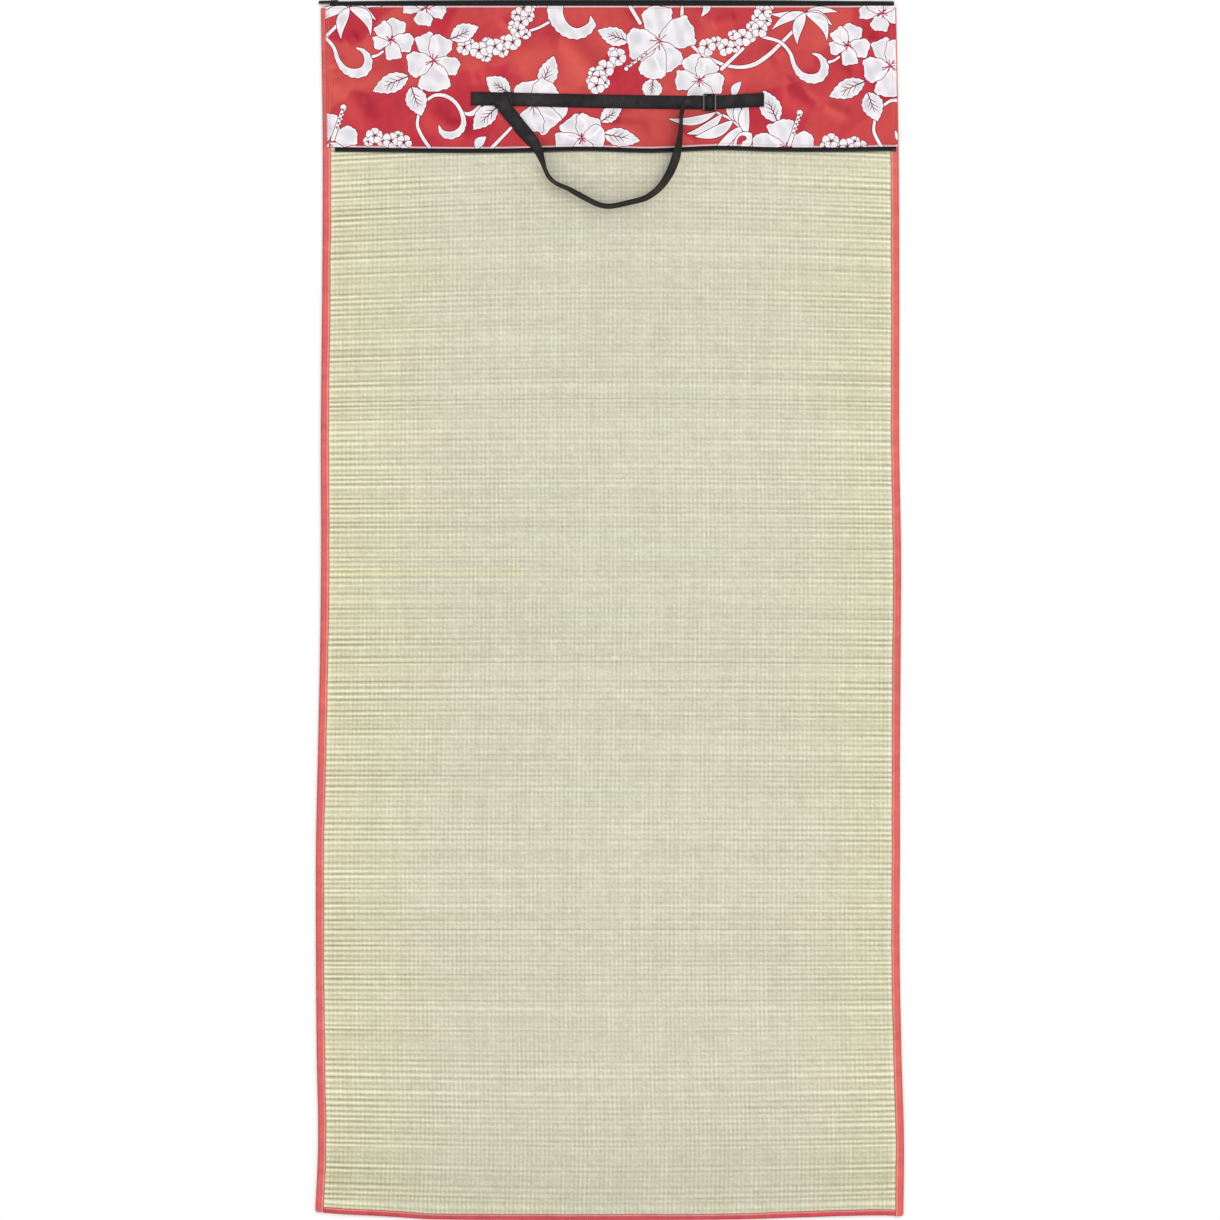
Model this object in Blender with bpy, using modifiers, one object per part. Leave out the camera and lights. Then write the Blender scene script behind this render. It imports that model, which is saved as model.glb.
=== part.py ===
"""Beach mat: a woven straw sheet bound in coral tape, with a printed cloth panel across its head.

The panel is edged with the two halves of a separating zip and carries a webbing carry handle.
The mat lies flat, +Y towards the head, +Z up, origin at the bottom centre of its box.
"""

import math
import random
from collections import namedtuple

import bmesh
import bpy
from mathutils import Vector

MM = 0.001

# Overall outline. The sheet is 1.80 m long, and its long edges wander by a few millimetres.
FOOT_Y = -900 * MM
SideRow = namedtuple("SideRow", "y left right")
SIDE_EDGES = [
    SideRow(900 * MM, -426.0 * MM, 422.0 * MM),
    SideRow(678 * MM, -423.0 * MM, 426.0 * MM),
    SideRow(457 * MM, -424.0 * MM, 427.0 * MM),
    SideRow(236 * MM, -426.0 * MM, 427.0 * MM),
    SideRow(88 * MM, -425.5 * MM, 429.5 * MM),
    SideRow(-59 * MM, -427.0 * MM, 429.0 * MM),
    SideRow(-207 * MM, -430.0 * MM, 428.0 * MM),
    SideRow(-354 * MM, -433.0 * MM, 428.0 * MM),
    SideRow(-502 * MM, -433.0 * MM, 427.5 * MM),
    SideRow(-649 * MM, -432.0 * MM, 430.0 * MM),
    SideRow(-797 * MM, -430.0 * MM, 434.0 * MM),
    SideRow(-888 * MM, -434.0 * MM, 433.0 * MM),
]
FootRow = namedtuple("FootRow", "x y")
FOOT_EDGE = [
    FootRow(-434 * MM, -888 * MM),
    FootRow(-398 * MM, -891 * MM),
    FootRow(-339 * MM, -894 * MM),
    FootRow(-250 * MM, -899 * MM),
    FootRow(-30 * MM, -900 * MM),
    FootRow(180 * MM, -899 * MM),
    FootRow(280 * MM, -896 * MM),
    FootRow(400 * MM, -893 * MM),
    FootRow(434 * MM, -894 * MM),
]

# Binding tape: a folded channel round the edge of the straw.
BIND_WIDTH = 12.0 * MM
FOOT_BIND_WIDTH = 8.6 * MM
BIND_LEG = 0.8 * MM
BIND_HEIGHT = 3.3 * MM
BIND_HEAD_Y = 887 * MM
BIND_STEP = 70 * MM
BIND_LAST_Y = -863 * MM
GAP = 0.3 * MM

# Straw sheet: flat below, ribbed above, pressed thin where the binding holds it.
STRAW_HEAD_Y = 882 * MM
STRAW_TOP = 2.6 * MM
PRESSED_LOW = 1.1 * MM
PRESSED_HIGH = 2.2 * MM
PRESSED_PAST = 0.5 * MM
PRESS_RAMP = 6.0 * MM
FOOT_SLACK = 2.0 * MM
RIB_PITCH = 8.0 * MM
RIB_HEAD_Y = 676 * MM
RIB_HEIGHT_SIDE = 0.30 * MM
RIB_HEIGHT_MIDDLE = 0.14 * MM
SHEET_PARTS = [0.18, 0.40, 0.60, 0.82]
FOOT_STEPS = 14
BowRow = namedtuple("BowRow", "y bow")
ROW_BOW = [
    BowRow(-889 * MM, -10 * MM),
    BowRow(-750 * MM, -5 * MM),
    BowRow(-450 * MM, -1 * MM),
    BowRow(0 * MM, 4 * MM),
    BowRow(380 * MM, 8 * MM),
    BowRow(660 * MM, 16 * MM),
    BowRow(720 * MM, 14 * MM),
    BowRow(882 * MM, 0 * MM),
]

# Printed panel.
PANEL_HEAD_Y = 891 * MM
PANEL_FOOT_Y = 681.7 * MM
PANEL_LEFT_IN = 6.5 * MM
PANEL_RIGHT_IN = 1.5 * MM
PANEL_THICK = 1.2 * MM
PANEL_LOW = 3.2 * MM
PANEL_OVER_BINDING = 3.8 * MM
PANEL_OVER_ZIP = 4.7 * MM
PANEL_LEVEL_PAST = 2.0 * MM
PANEL_RAMP = 15.0 * MM
PANEL_COLUMNS = 44
# Distances of the panel's grid rows from its foot edge, in millimetres.
PANEL_ROWS = [0, 10, 25, 50, 62, 85, 108, 130, 152, 172, 190, 200, 209.3]
Crease = namedtuple("Crease", "x1 y1 x2 y2 height reach")
# Soft ridges of the cloth: the two ends, the height and the reach to each side, in millimetres.
CREASES = [
    Crease(-412, 764, -302, 802, 1.2, 16),
    Crease(-388, 774, -351, 712, 1.0, 15),
    Crease(-206, 790, -70, 852, 1.7, 20),
    Crease(-73, 852, -14, 783, 1.3, 18),
    Crease(3, 846, 36, 876, 1.0, 13),
    Crease(45, 811, 133, 868, 1.1, 18),
    Crease(166, 790, 245, 820, 1.5, 17),
    Crease(250, 768, 303, 738, 1.3, 15),
    Crease(291, 752, 354, 802, 1.3, 15),
    Crease(372, 806, 402, 740, 1.1, 18),
    Crease(-272, 733, -206, 697, 1.2, 16),
    Crease(-20, 721, 60, 702, 1.1, 17),
]
CREASE_FADE = 22 * MM
CALM_LOW = (-230 * MM, 728 * MM)
CALM_HIGH = (250 * MM, 770 * MM)
CALM_RAMP = 14 * MM

# Separating zip: tape sewn under the panel's edges, with a coil along its free edge.
TAPE_THICK = 0.8 * MM
TAPE_UNDER = 8.0 * MM
COIL_WIDTH = 2.6 * MM
COIL_HEIGHT = 2.0 * MM
HEAD_TAPE_LOW = 1.6 * MM
FOOT_TAPE_LOW = 3.6 * MM
HEAD_ZIP_FREE_Y = 897 * MM
HEAD_ZIP_CROWN = 3.0 * MM
HEAD_ZIP_X = (-412.5 * MM, 413 * MM)
FOOT_ZIP_X = (-405 * MM, 417 * MM)
HEAD_ZIP_RISE_X = (358 * MM, 389 * MM)
ZIP_STEPS = 36
FootZipRow = namedtuple("FootZipRow", "x y")
FOOT_ZIP_FREE = [
    FootZipRow(-405 * MM, 674.6 * MM),
    FootZipRow(-162 * MM, 672.8 * MM),
    FootZipRow(-30 * MM, 675.4 * MM),
    FootZipRow(60 * MM, 673.0 * MM),
    FootZipRow(163 * MM, 676.8 * MM),
    FootZipRow(237 * MM, 674.8 * MM),
    FootZipRow(310 * MM, 674.2 * MM),
    FootZipRow(417 * MM, 675.6 * MM),
]

# Slider, its pull, and the end pieces of the zip.
SLIDER_LENGTH = 10.5 * MM
SLIDER_X = -405.6 * MM
SLIDER_Y = (891.3 * MM, 898.7 * MM)
SLIDER_Z = (0.4 * MM, 4.8 * MM)
SLIDER_MOUTH_Z = (1.2 * MM, 2.8 * MM)
BAIL_X = -408.2 * MM
BAIL_RADIUS = 0.9 * MM
BAIL_HIGH = 8.0 * MM
PULL_SIZE = (24.0 * MM, 4.8 * MM, 1.1 * MM)
PULL_Y = 895.4 * MM
PULL_TILT = math.radians(10)
PULL_EYE = 1.5 * MM
END_PIECE_LENGTH = 2.6 * MM

# Webbing band, sewn along the panel, and carry handle.
WEB_WIDTH = 20.0 * MM
BAND_THICK = 1.2 * MM
HANDLE_THICK = 1.3 * MM
BAND_LOW = 4.7 * MM
BandRow = namedtuple("BandRow", "x y")
BAND_ROUTE = [
    BandRow(-204.7 * MM, 753.3 * MM),
    BandRow(-161 * MM, 752.6 * MM),
    BandRow(-90 * MM, 751.0 * MM),
    BandRow(-14 * MM, 749.4 * MM),
    BandRow(74 * MM, 748.0 * MM),
    BandRow(130 * MM, 747.4 * MM),
    BandRow(160 * MM, 747.7 * MM),
    BandRow(192 * MM, 749.7 * MM),
    BandRow(227.5 * MM, 751.6 * MM),
]
BAND_STEPS = 30

# Handle sections, in millimetres and degrees: middle of the webbing, height of what its low edge
# clears, plan direction from its right-hand edge to its left-hand edge, lean of that line, width.
HandleRow = namedtuple("HandleRow", "x y base aim tilt width")
HANDLE_ROUTE = [
    HandleRow(-143.5, 753.0, 6.3, 90, 0, 20),
    HandleRow(-153.0, 752.6, 6.3, 70, 0, 21.5),
    HandleRow(-162.5, 753.0, 6.3, 51, 0, 27),
    HandleRow(-163.4, 753.7, 7.1, 51, 0, 27),
    HandleRow(-162.2, 752.6, 7.9, 51, 0, 27),
    HandleRow(-157.0, 745.5, 7.6, 48, 3, 23),
    HandleRow(-150.8, 735.5, 5.2, 45, 3, 21),
    HandleRow(-138.0, 719.5, 4.9, 44, 0, 20),
    HandleRow(-126.0, 709.0, 5.4, 38, 6, 20),
    HandleRow(-115.5, 702.0, 6.0, 34, 20, 20),
    HandleRow(-109.0, 697.5, 6.2, 24, 42, 20),
    HandleRow(-102.5, 682.5, 6.2, 19, 56, 20),
    HandleRow(-98.8, 670.5, 6.2, 20, 66, 20),
    HandleRow(-95.3, 658.0, 4.2, 24, 74, 20),
    HandleRow(-85.0, 637.0, 3.5, 40, 76, 20),
    HandleRow(-73.0, 625.0, 3.5, 54, 77, 20),
    HandleRow(-44.0, 607.5, 3.5, 66, 72, 20),
    HandleRow(-4.0, 595.0, 3.5, 83, 74, 20),
    HandleRow(27.0, 598.5, 3.5, 102, 74, 20),
    HandleRow(56.5, 608.0, 3.5, 117, 70, 20),
    HandleRow(74.0, 622.0, 3.5, 139, 64, 20),
    HandleRow(88.0, 642.5, 3.7, 152, 56, 20),
    HandleRow(96.5, 663.0, 5.9, 163, 52, 20),
    HandleRow(100.5, 678.0, 6.2, 168, 58, 20),
    HandleRow(103.0, 693.0, 6.2, 173, 68, 20),
    HandleRow(105.0, 715.0, 5.5, 178, 74, 20),
    HandleRow(106.0, 731.0, 5.6, 174, 74, 20),
    HandleRow(110.0, 742.5, 6.4, 150, 68, 20),
    HandleRow(118.0, 747.6, 6.4, 112, 44, 20),
    HandleRow(128.0, 747.6, 6.3, 92, 14, 20),
]
HANDLE_END_X = 227.0 * MM
SAMPLES_PER_ROW = 3

# Tri-glide adjuster: a frame with two slots.
ADJUSTER_X = 147.0 * MM
ADJUSTER_LENGTH = 19.6 * MM
ADJUSTER_WIDTH = 25.4 * MM
ADJUSTER_LOW = 6.2 * MM
ADJUSTER_HIGH = 10.0 * MM
OUTER_BAR = 2.6 * MM
OUTER_BAR_AT = 7.7 * MM
OUTER_BAR_LOW = 7.95 * MM
CENTRE_BAR = 3.8 * MM
CENTRE_BAR_HIGH = 7.85 * MM
SLOT_WIDTH = 20.9 * MM
OVER_BAR = 8.35 * MM
UNDER_BAR = 6.25 * MM

Finish = namedtuple("Finish", "red green blue roughness metallic")
STRAW = Finish(212, 208, 182, 0.75, 0.0)
CORAL = Finish(222, 124, 117, 0.85, 0.0)
PRINT_RED = Finish(205, 74, 80, 0.7, 0.0)
BLACK_TAPE = Finish(48, 40, 42, 0.7, 0.0)
WEBBING = Finish(50, 47, 48, 0.75, 0.0)
BLACK_PLASTIC = Finish(38, 40, 42, 0.35, 0.0)
DARK_METAL = Finish(52, 52, 54, 0.35, 0.8)
PALE_PLASTIC = Finish(190, 186, 186, 0.4, 0.0)


def clear_scene():
    for obj in list(bpy.data.objects):
        bpy.data.objects.remove(obj, do_unlink=True)


def new_collection(name):
    collection = bpy.data.collections.new(name)
    bpy.context.scene.collection.children.link(collection)
    return collection


def linear(value):
    """A colour channel of 0 to 255 in the display space, made linear."""
    share = value / 255
    return share / 12.92 if share <= 0.04045 else ((share + 0.055) / 1.055) ** 2.4


def material(name, finish):
    made = bpy.data.materials.new(name)
    made.use_nodes = True
    shader = made.node_tree.nodes["Principled BSDF"]
    colour = [linear(finish.red), linear(finish.green), linear(finish.blue), 1.0]
    shader.inputs["Base Color"].default_value = colour
    shader.inputs["Roughness"].default_value = finish.roughness
    shader.inputs["Metallic"].default_value = finish.metallic
    return made


def smooth(value):
    """0 below 0, 1 above 1, with an easy change between."""
    share = min(max(value, 0.0), 1.0)
    return share * share * (3 - 2 * share)


def slopes(knots, values, monotone):
    """The slope of the curve through the values at each knot."""
    steps = [b - a for a, b in zip(knots, knots[1:])]
    secants = [(b - a) / step for a, b, step in zip(values, values[1:], steps)]
    found = [secants[0]]
    for before, after, left, right in zip(secants, secants[1:], steps, steps[1:]):
        slope = (before * right + after * left) / (left + right)
        if monotone:
            if before * after <= 0:
                slope = 0.0
            else:
                limit = 3 * min(abs(before), abs(after))
                slope = math.copysign(min(abs(slope), limit), before)
        found.append(slope)
    found.append(secants[-1])
    return found


def curve_at(knots, values, at, monotone=False):
    """Value at a place on the smooth curve through rising knots, held level outside them."""
    if at <= knots[0]:
        return values[0]
    if at >= knots[-1]:
        return values[-1]
    span = max(i for i, knot in enumerate(knots[:-1]) if knot <= at)
    step = knots[span + 1] - knots[span]
    t = (at - knots[span]) / step
    rise = slopes(knots, values, monotone)
    return (
        (2 * t**3 - 3 * t**2 + 1) * values[span]
        + (t**3 - 2 * t**2 + t) * step * rise[span]
        + (3 * t**2 - 2 * t**3) * values[span + 1]
        + (t**3 - t**2) * step * rise[span + 1]
    )


SIDE_RISING = sorted(SIDE_EDGES)
SIDE_KNOTS = [row.y for row in SIDE_RISING]


def left_x(y):
    return curve_at(SIDE_KNOTS, [row.left for row in SIDE_RISING], y)


def right_x(y):
    return curve_at(SIDE_KNOTS, [row.right for row in SIDE_RISING], y)


def foot_y(x):
    return curve_at([row.x for row in FOOT_EDGE], [row.y for row in FOOT_EDGE], x, True)


def row_y(x, y):
    """Height on the sheet of the straw row that meets the long edges at y."""
    bow = curve_at([row.y for row in ROW_BOW], [row.bow for row in ROW_BOW], y)
    middle = (left_x(y) + right_x(y)) / 2
    half = (right_x(y) - left_x(y)) / 2
    return y + bow * (1 - ((x - middle) / half) ** 2)


def new_object(name, build, finish, collection):
    """An object from a bmesh that build fills, with its normals out and its own material."""
    mesh = bpy.data.meshes.new(name)
    bm = bmesh.new()
    build(bm)
    bmesh.ops.recalc_face_normals(bm, faces=bm.faces)
    bm.to_mesh(mesh)
    bm.free()
    obj = bpy.data.objects.new(name, mesh)
    collection.objects.link(obj)
    mesh.materials.append(material(name + "_finish", finish))
    return obj


def steps_between(ends, count):
    return [ends[0] + (ends[1] - ends[0]) * i / count for i in range(count + 1)]


def loft(bm, sections):
    """A closed body through equal loops of points, with an end cap on the first and the last."""
    loops = [[bm.verts.new(point) for point in section] for section in sections]
    count = len(loops[0])
    for first, second in zip(loops, loops[1:]):
        for i in range(count):
            j = (i + 1) % count
            bm.faces.new((first[i], first[j], second[j], second[i]))
    bm.faces.new(loops[0])
    bm.faces.new(reversed(loops[-1]))


def stitch(bm, first, second):
    """Triangles between two rows of points that run along -Y and need not have equal counts."""
    i = j = 0
    while i < len(first) - 1 or j < len(second) - 1:
        at_end = j == len(second) - 1
        if at_end or (i < len(first) - 1 and first[i + 1].co.y > second[j + 1].co.y):
            bm.faces.new((first[i], first[i + 1], second[j]))
            i += 1
        else:
            bm.faces.new((first[i], second[j + 1], second[j]))
            j += 1


def channel_section(edge, inward, width):
    """The binding's folded section: edge is the outer point on the floor, inward a unit vector."""
    outline = [
        (0, 0),
        (width, 0),
        (width, BIND_LEG),
        (BIND_LEG, BIND_LEG),
        (BIND_LEG, BIND_HEIGHT - BIND_LEG),
        (width, BIND_HEIGHT - BIND_LEG),
        (width, BIND_HEIGHT),
        (0, BIND_HEIGHT),
    ]
    return [edge + inward * along + Vector((0, 0, up)) for along, up in outline]


def edge_heights(head_y):
    """Heights down a long edge, which the bindings and the straw's thin edges share."""
    count = round((BIND_HEAD_Y - BIND_LAST_Y) / BIND_STEP)
    return [head_y] + [BIND_HEAD_Y - BIND_STEP * i for i in range(1, count + 1)]


def side_binding(edge_x, inward_x):
    """Sections of a long edge's binding, from the head to the foot corner."""
    heights = edge_heights(BIND_HEAD_Y) + [foot_y(edge_x(FOOT_Y))]
    inward = Vector((inward_x, 0, 0))
    return [channel_section(Vector((edge_x(y), y, 0)), inward, BIND_WIDTH) for y in heights]


def foot_binding():
    """Sections of the foot binding, which butts against the two side bindings."""
    inner_y = foot_y(left_x(FOOT_Y)) + FOOT_BIND_WIDTH
    start = left_x(inner_y) + BIND_WIDTH + 2 * GAP
    end = right_x(inner_y) - BIND_WIDTH - 2 * GAP
    places = steps_between((start, end), FOOT_STEPS)
    inward = Vector((0, 1, 0))
    return [channel_section(Vector((x, foot_y(x), 0)), inward, FOOT_BIND_WIDTH) for x in places]


def make_bindings(collection):
    new_object("binding_left", lambda bm: loft(bm, side_binding(left_x, 1)), CORAL, collection)
    new_object("binding_right", lambda bm: loft(bm, side_binding(right_x, -1)), CORAL, collection)
    new_object("binding_foot", lambda bm: loft(bm, foot_binding()), CORAL, collection)


def straw_columns(y):
    """Places across the sheet at y: edge, end of the pressed strip, end of the ramp, and inside."""
    edge = BIND_LEG + GAP
    pressed = BIND_WIDTH + PRESSED_PAST
    ramp = pressed + PRESS_RAMP
    left, right = left_x(y), right_x(y)
    inner = [left + (right - left) * share for share in SHEET_PARTS]
    lows = [left + inset for inset in (edge, pressed, ramp)]
    highs = [right - inset for inset in (ramp, pressed, edge)]
    return lows + inner + highs


def rib_heights():
    """Pairs of (y, height share) down the sheet: a trough and a crest for each uneven rib."""
    chance = random.Random(11)
    y = RIB_HEAD_Y
    rows = []
    while y > FOOT_EDGE[0].y + 2.6 * RIB_PITCH:
        pitch = RIB_PITCH * chance.uniform(0.82, 1.18)
        strength = chance.uniform(0.55, 1.0)
        rows.append((y, -strength))
        rows.append((y - pitch / 2, strength))
        y -= pitch
    rows.append((y, -0.5))
    return rows


def straw_top_point(x, y, column, share):
    """A point of the ribbed top, with ribs that fade towards the middle of the sheet."""
    middle = (len(SHEET_PARTS) + 5) / 2
    out = abs(column - middle) / (middle - 2)
    height = RIB_HEIGHT_MIDDLE + (RIB_HEIGHT_SIDE - RIB_HEIGHT_MIDDLE) * min(out, 1.0)
    return Vector((x, row_y(x, y), STRAW_TOP + height * share))


def join_columns(bm, first, second):
    """Faces between two neighbouring columns, whose last three points belong to the foot edge."""
    stitch(bm, first[:-2], second[:-2])
    for i in (-3, -2):
        bm.faces.new((first[i], first[i + 1], second[i + 1], second[i]))


def build_straw(bm):
    """The sheet as one closed body: ribbed top, flat bottom, thin edges inside the bindings."""
    count = len(SHEET_PARTS) + 6
    inside = range(2, count - 2)
    foot_in = BIND_LEG + GAP + FOOT_SLACK
    foot_pressed = FOOT_BIND_WIDTH + PRESSED_PAST + FOOT_SLACK
    foot_ramp = foot_pressed + PRESS_RAMP
    ribs = rib_heights()

    def foot_points(column, full, pressed):
        y = foot_y(straw_columns(FOOT_Y)[column])
        insets = ((foot_ramp, full), (foot_pressed, pressed), (foot_in, pressed))
        return [Vector((straw_columns(y + i)[column], y + i, z)) for i, z in insets]

    def plain_points(column, z):
        return [Vector((straw_columns(y)[column], y, z)) for y in edge_heights(STRAW_HEAD_Y)]

    top, bottom = [], []
    for column in range(count):
        if column in inside:
            upper = [Vector((straw_columns(STRAW_HEAD_Y)[column], STRAW_HEAD_Y, STRAW_TOP))]
            for y, share in ribs:
                upper.append(straw_top_point(straw_columns(y)[column], y, column, share))
            upper += foot_points(column, STRAW_TOP, PRESSED_HIGH)
            lower = plain_points(column, 0.0) + foot_points(column, 0.0, PRESSED_LOW)
        else:
            upper = plain_points(column, PRESSED_HIGH)
            upper += foot_points(column, PRESSED_HIGH, PRESSED_HIGH)
            lower = plain_points(column, PRESSED_LOW)
            lower += foot_points(column, PRESSED_LOW, PRESSED_LOW)
        top.append([bm.verts.new(point) for point in upper])
        bottom.append([bm.verts.new(point) for point in lower])

    for layer in (top, bottom):
        for first, second in zip(layer, layer[1:]):
            join_columns(bm, first, second)
    for upper, lower in ((top[0], bottom[0]), (top[-1], bottom[-1])):
        for i in range(len(upper) - 1):
            bm.faces.new((upper[i], upper[i + 1], lower[i + 1], lower[i]))
    for end in (0, -1):
        for column in range(count - 1):
            corners = (top[column][end], top[column + 1][end])
            bm.faces.new(corners + (bottom[column + 1][end], bottom[column][end]))


def crease_lift(x, y):
    """Height of the hand-placed creases over the panel's resting level, in metres."""
    lift = 0.0
    for crease in CREASES:
        start = Vector((crease.x1, crease.y1)) * MM
        along = Vector((crease.x2, crease.y2)) * MM - start
        share = (Vector((x, y)) - start).dot(along) / along.length_squared
        nearest = start + along * min(max(share, 0.0), 1.0)
        distance = (Vector((x, y)) - nearest).length / (crease.reach * MM)
        lift = max(lift, crease.height * MM * math.exp(-distance * distance))
    (low_x, low_y), (high_x, high_y) = CALM_LOW, CALM_HIGH
    outside = max(low_x - x, x - high_x, low_y - y, y - high_y)
    return lift * smooth(outside / CALM_RAMP)


def panel_low(x, y):
    """Height of the panel's underside."""
    edge = min(x - left_x(y), right_x(y) - x)
    height = PANEL_LOW
    over_binding = 1 - smooth((edge - BIND_WIDTH - PANEL_LEVEL_PAST) / PANEL_RAMP)
    height += (PANEL_OVER_BINDING - PANEL_LOW) * over_binding
    zip_reach = TAPE_UNDER + PANEL_LEVEL_PAST
    over_foot_zip = 1 - smooth((y - PANEL_FOOT_Y - zip_reach) / PANEL_RAMP)
    near_head = 1 - smooth((PANEL_HEAD_Y - y - zip_reach) / PANEL_RAMP)
    start, end = HEAD_ZIP_RISE_X
    over_head_zip = near_head * smooth((x - start + PANEL_RAMP) / (end - start))
    height += (PANEL_OVER_ZIP - height) * max(over_foot_zip, over_head_zip)
    inside = min(y - PANEL_FOOT_Y, PANEL_HEAD_Y - y, edge - PANEL_LEFT_IN)
    return height + crease_lift(x, y) * smooth(inside / CREASE_FADE)


def build_panel(bm):
    rows = len(PANEL_ROWS)
    bmesh.ops.create_grid(bm, x_segments=PANEL_COLUMNS, y_segments=rows - 1, size=1.0)
    for vert in bm.verts:
        across = (vert.co.x + 1) / 2
        row = round((vert.co.y + 1) / 2 * (rows - 1))
        y = PANEL_FOOT_Y + PANEL_ROWS[row] * MM
        left, right = left_x(y) + PANEL_LEFT_IN, right_x(y) - PANEL_RIGHT_IN
        x = left + (right - left) * across
        vert.co = (x, y, panel_low(x, y))


def make_panel(collection):
    panel = new_object("panel", build_panel, PRINT_RED, collection)
    if panel.data.polygons[0].normal.z < 0:
        panel.data.flip_normals()
    shell = panel.modifiers.new("cloth", "SOLIDIFY")
    shell.thickness = PANEL_THICK
    shell.offset = 1.0
    panel.data.shade_smooth()
    return panel


def zip_section(x, sewn_y, free_y, low, side):
    """Section of a zip half at x: flat tape from its sewn edge, thickened to the coil."""
    coil = COIL_WIDTH * side
    outline = [
        (sewn_y, low),
        (free_y - coil * 0.15, low),
        (free_y, low + COIL_HEIGHT * 0.3),
        (free_y, low + COIL_HEIGHT * 0.7),
        (free_y - coil * 0.15, low + COIL_HEIGHT),
        (free_y - coil * 0.85, low + COIL_HEIGHT),
        (free_y - coil, low + TAPE_THICK),
        (sewn_y, low + TAPE_THICK),
    ]
    return [Vector((x, y, z)) for y, z in outline]


def head_zip_free_y(x):
    return HEAD_ZIP_FREE_Y + HEAD_ZIP_CROWN * max(0.0, 1 - (x / HEAD_ZIP_X[1]) ** 2)


def foot_zip_free_y(x):
    return curve_at([row.x for row in FOOT_ZIP_FREE], [row.y for row in FOOT_ZIP_FREE], x)


def head_tape_low(x):
    """The head half lies low and rises onto the right-hand binding."""
    start, end = HEAD_ZIP_RISE_X
    return HEAD_TAPE_LOW + (FOOT_TAPE_LOW - HEAD_TAPE_LOW) * smooth((x - start) / (end - start))


def make_zip_halves(collection):
    head = []
    for x in steps_between(HEAD_ZIP_X, ZIP_STEPS):
        sewn = PANEL_HEAD_Y - TAPE_UNDER
        head.append(zip_section(x, sewn, head_zip_free_y(x), head_tape_low(x), 1))
    foot = []
    for x in steps_between(FOOT_ZIP_X, ZIP_STEPS):
        sewn = PANEL_FOOT_Y + TAPE_UNDER
        foot.append(zip_section(x, sewn, foot_zip_free_y(x), FOOT_TAPE_LOW, -1))
    new_object("zip_half_head", lambda bm: loft(bm, head), BLACK_TAPE, collection)
    new_object("zip_half_foot", lambda bm: loft(bm, foot), BLACK_TAPE, collection)


def box_between(name, low, high, collection, finish=None):
    """A box from its low and high corners, made from a cube primitive."""

    def build(bm):
        bmesh.ops.create_cube(bm, size=1.0)
        for vert in bm.verts:
            vert.co = [
                low[axis] + (high[axis] - low[axis]) * (vert.co[axis] + 0.5) for axis in range(3)
            ]

    return new_object(name, build, finish or BLACK_PLASTIC, collection)


def hide_cutter(cutter):
    cutter.hide_render = True
    cutter.display_type = "WIRE"


def cut(obj, cutter):
    boolean = obj.modifiers.new("cut_" + cutter.name, "BOOLEAN")
    boolean.operation = "DIFFERENCE"
    boolean.object = cutter
    hide_cutter(cutter)


def round_edges(obj, width, segments=2):
    bevel = obj.modifiers.new("round", "BEVEL")
    bevel.width = width
    bevel.segments = segments
    bevel.limit_method = "ANGLE"


def make_slider(collection, cutters):
    """A slider round the coil: a block with a coil passage and a narrower mouth for the tape."""
    low_x, high_x = SLIDER_X - SLIDER_LENGTH / 2, SLIDER_X + SLIDER_LENGTH / 2
    low = (low_x, SLIDER_Y[0], SLIDER_Z[0])
    high = (high_x, SLIDER_Y[1], SLIDER_Z[1])
    slider = box_between("zip_slider", low, high, collection, DARK_METAL)
    round_edges(slider, 0.5 * MM)
    free = HEAD_ZIP_FREE_Y + 2 * GAP
    passage_low = (low_x - MM, free - COIL_WIDTH - 3 * GAP, HEAD_TAPE_LOW - GAP)
    passage_high = (high_x + MM, free, HEAD_TAPE_LOW + COIL_HEIGHT + GAP)
    cut(slider, box_between("slider_passage", passage_low, passage_high, cutters))
    mouth_low = (low_x - MM, SLIDER_Y[0] - MM, SLIDER_MOUTH_Z[0])
    mouth_high = (high_x + MM, free - COIL_WIDTH, SLIDER_MOUTH_Z[1])
    cut(slider, box_between("slider_mouth", mouth_low, mouth_high, cutters))
    add_bail(slider, cutters)


def upright_rod(name, radius, middle, height, collection):
    """An upright cylinder primitive in the given collection."""
    bpy.ops.mesh.primitive_cylinder_add(vertices=16, radius=radius, depth=height, location=middle)
    rod = bpy.context.object
    rod.name = name
    for holder in list(rod.users_collection):
        holder.objects.unlink(rod)
    collection.objects.link(rod)
    return rod


def add_bail(slider, cutters):
    """The post on the slider that the eye of the pull goes round."""
    low = SLIDER_Z[1] - 0.5 * MM
    middle = (BAIL_X, PULL_Y, (low + BAIL_HIGH) / 2)
    post = upright_rod("bail_post", BAIL_RADIUS, middle, BAIL_HIGH - low, cutters)
    union = slider.modifiers.new("bail", "BOOLEAN")
    union.operation = "UNION"
    union.object = post
    hide_cutter(post)


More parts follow.
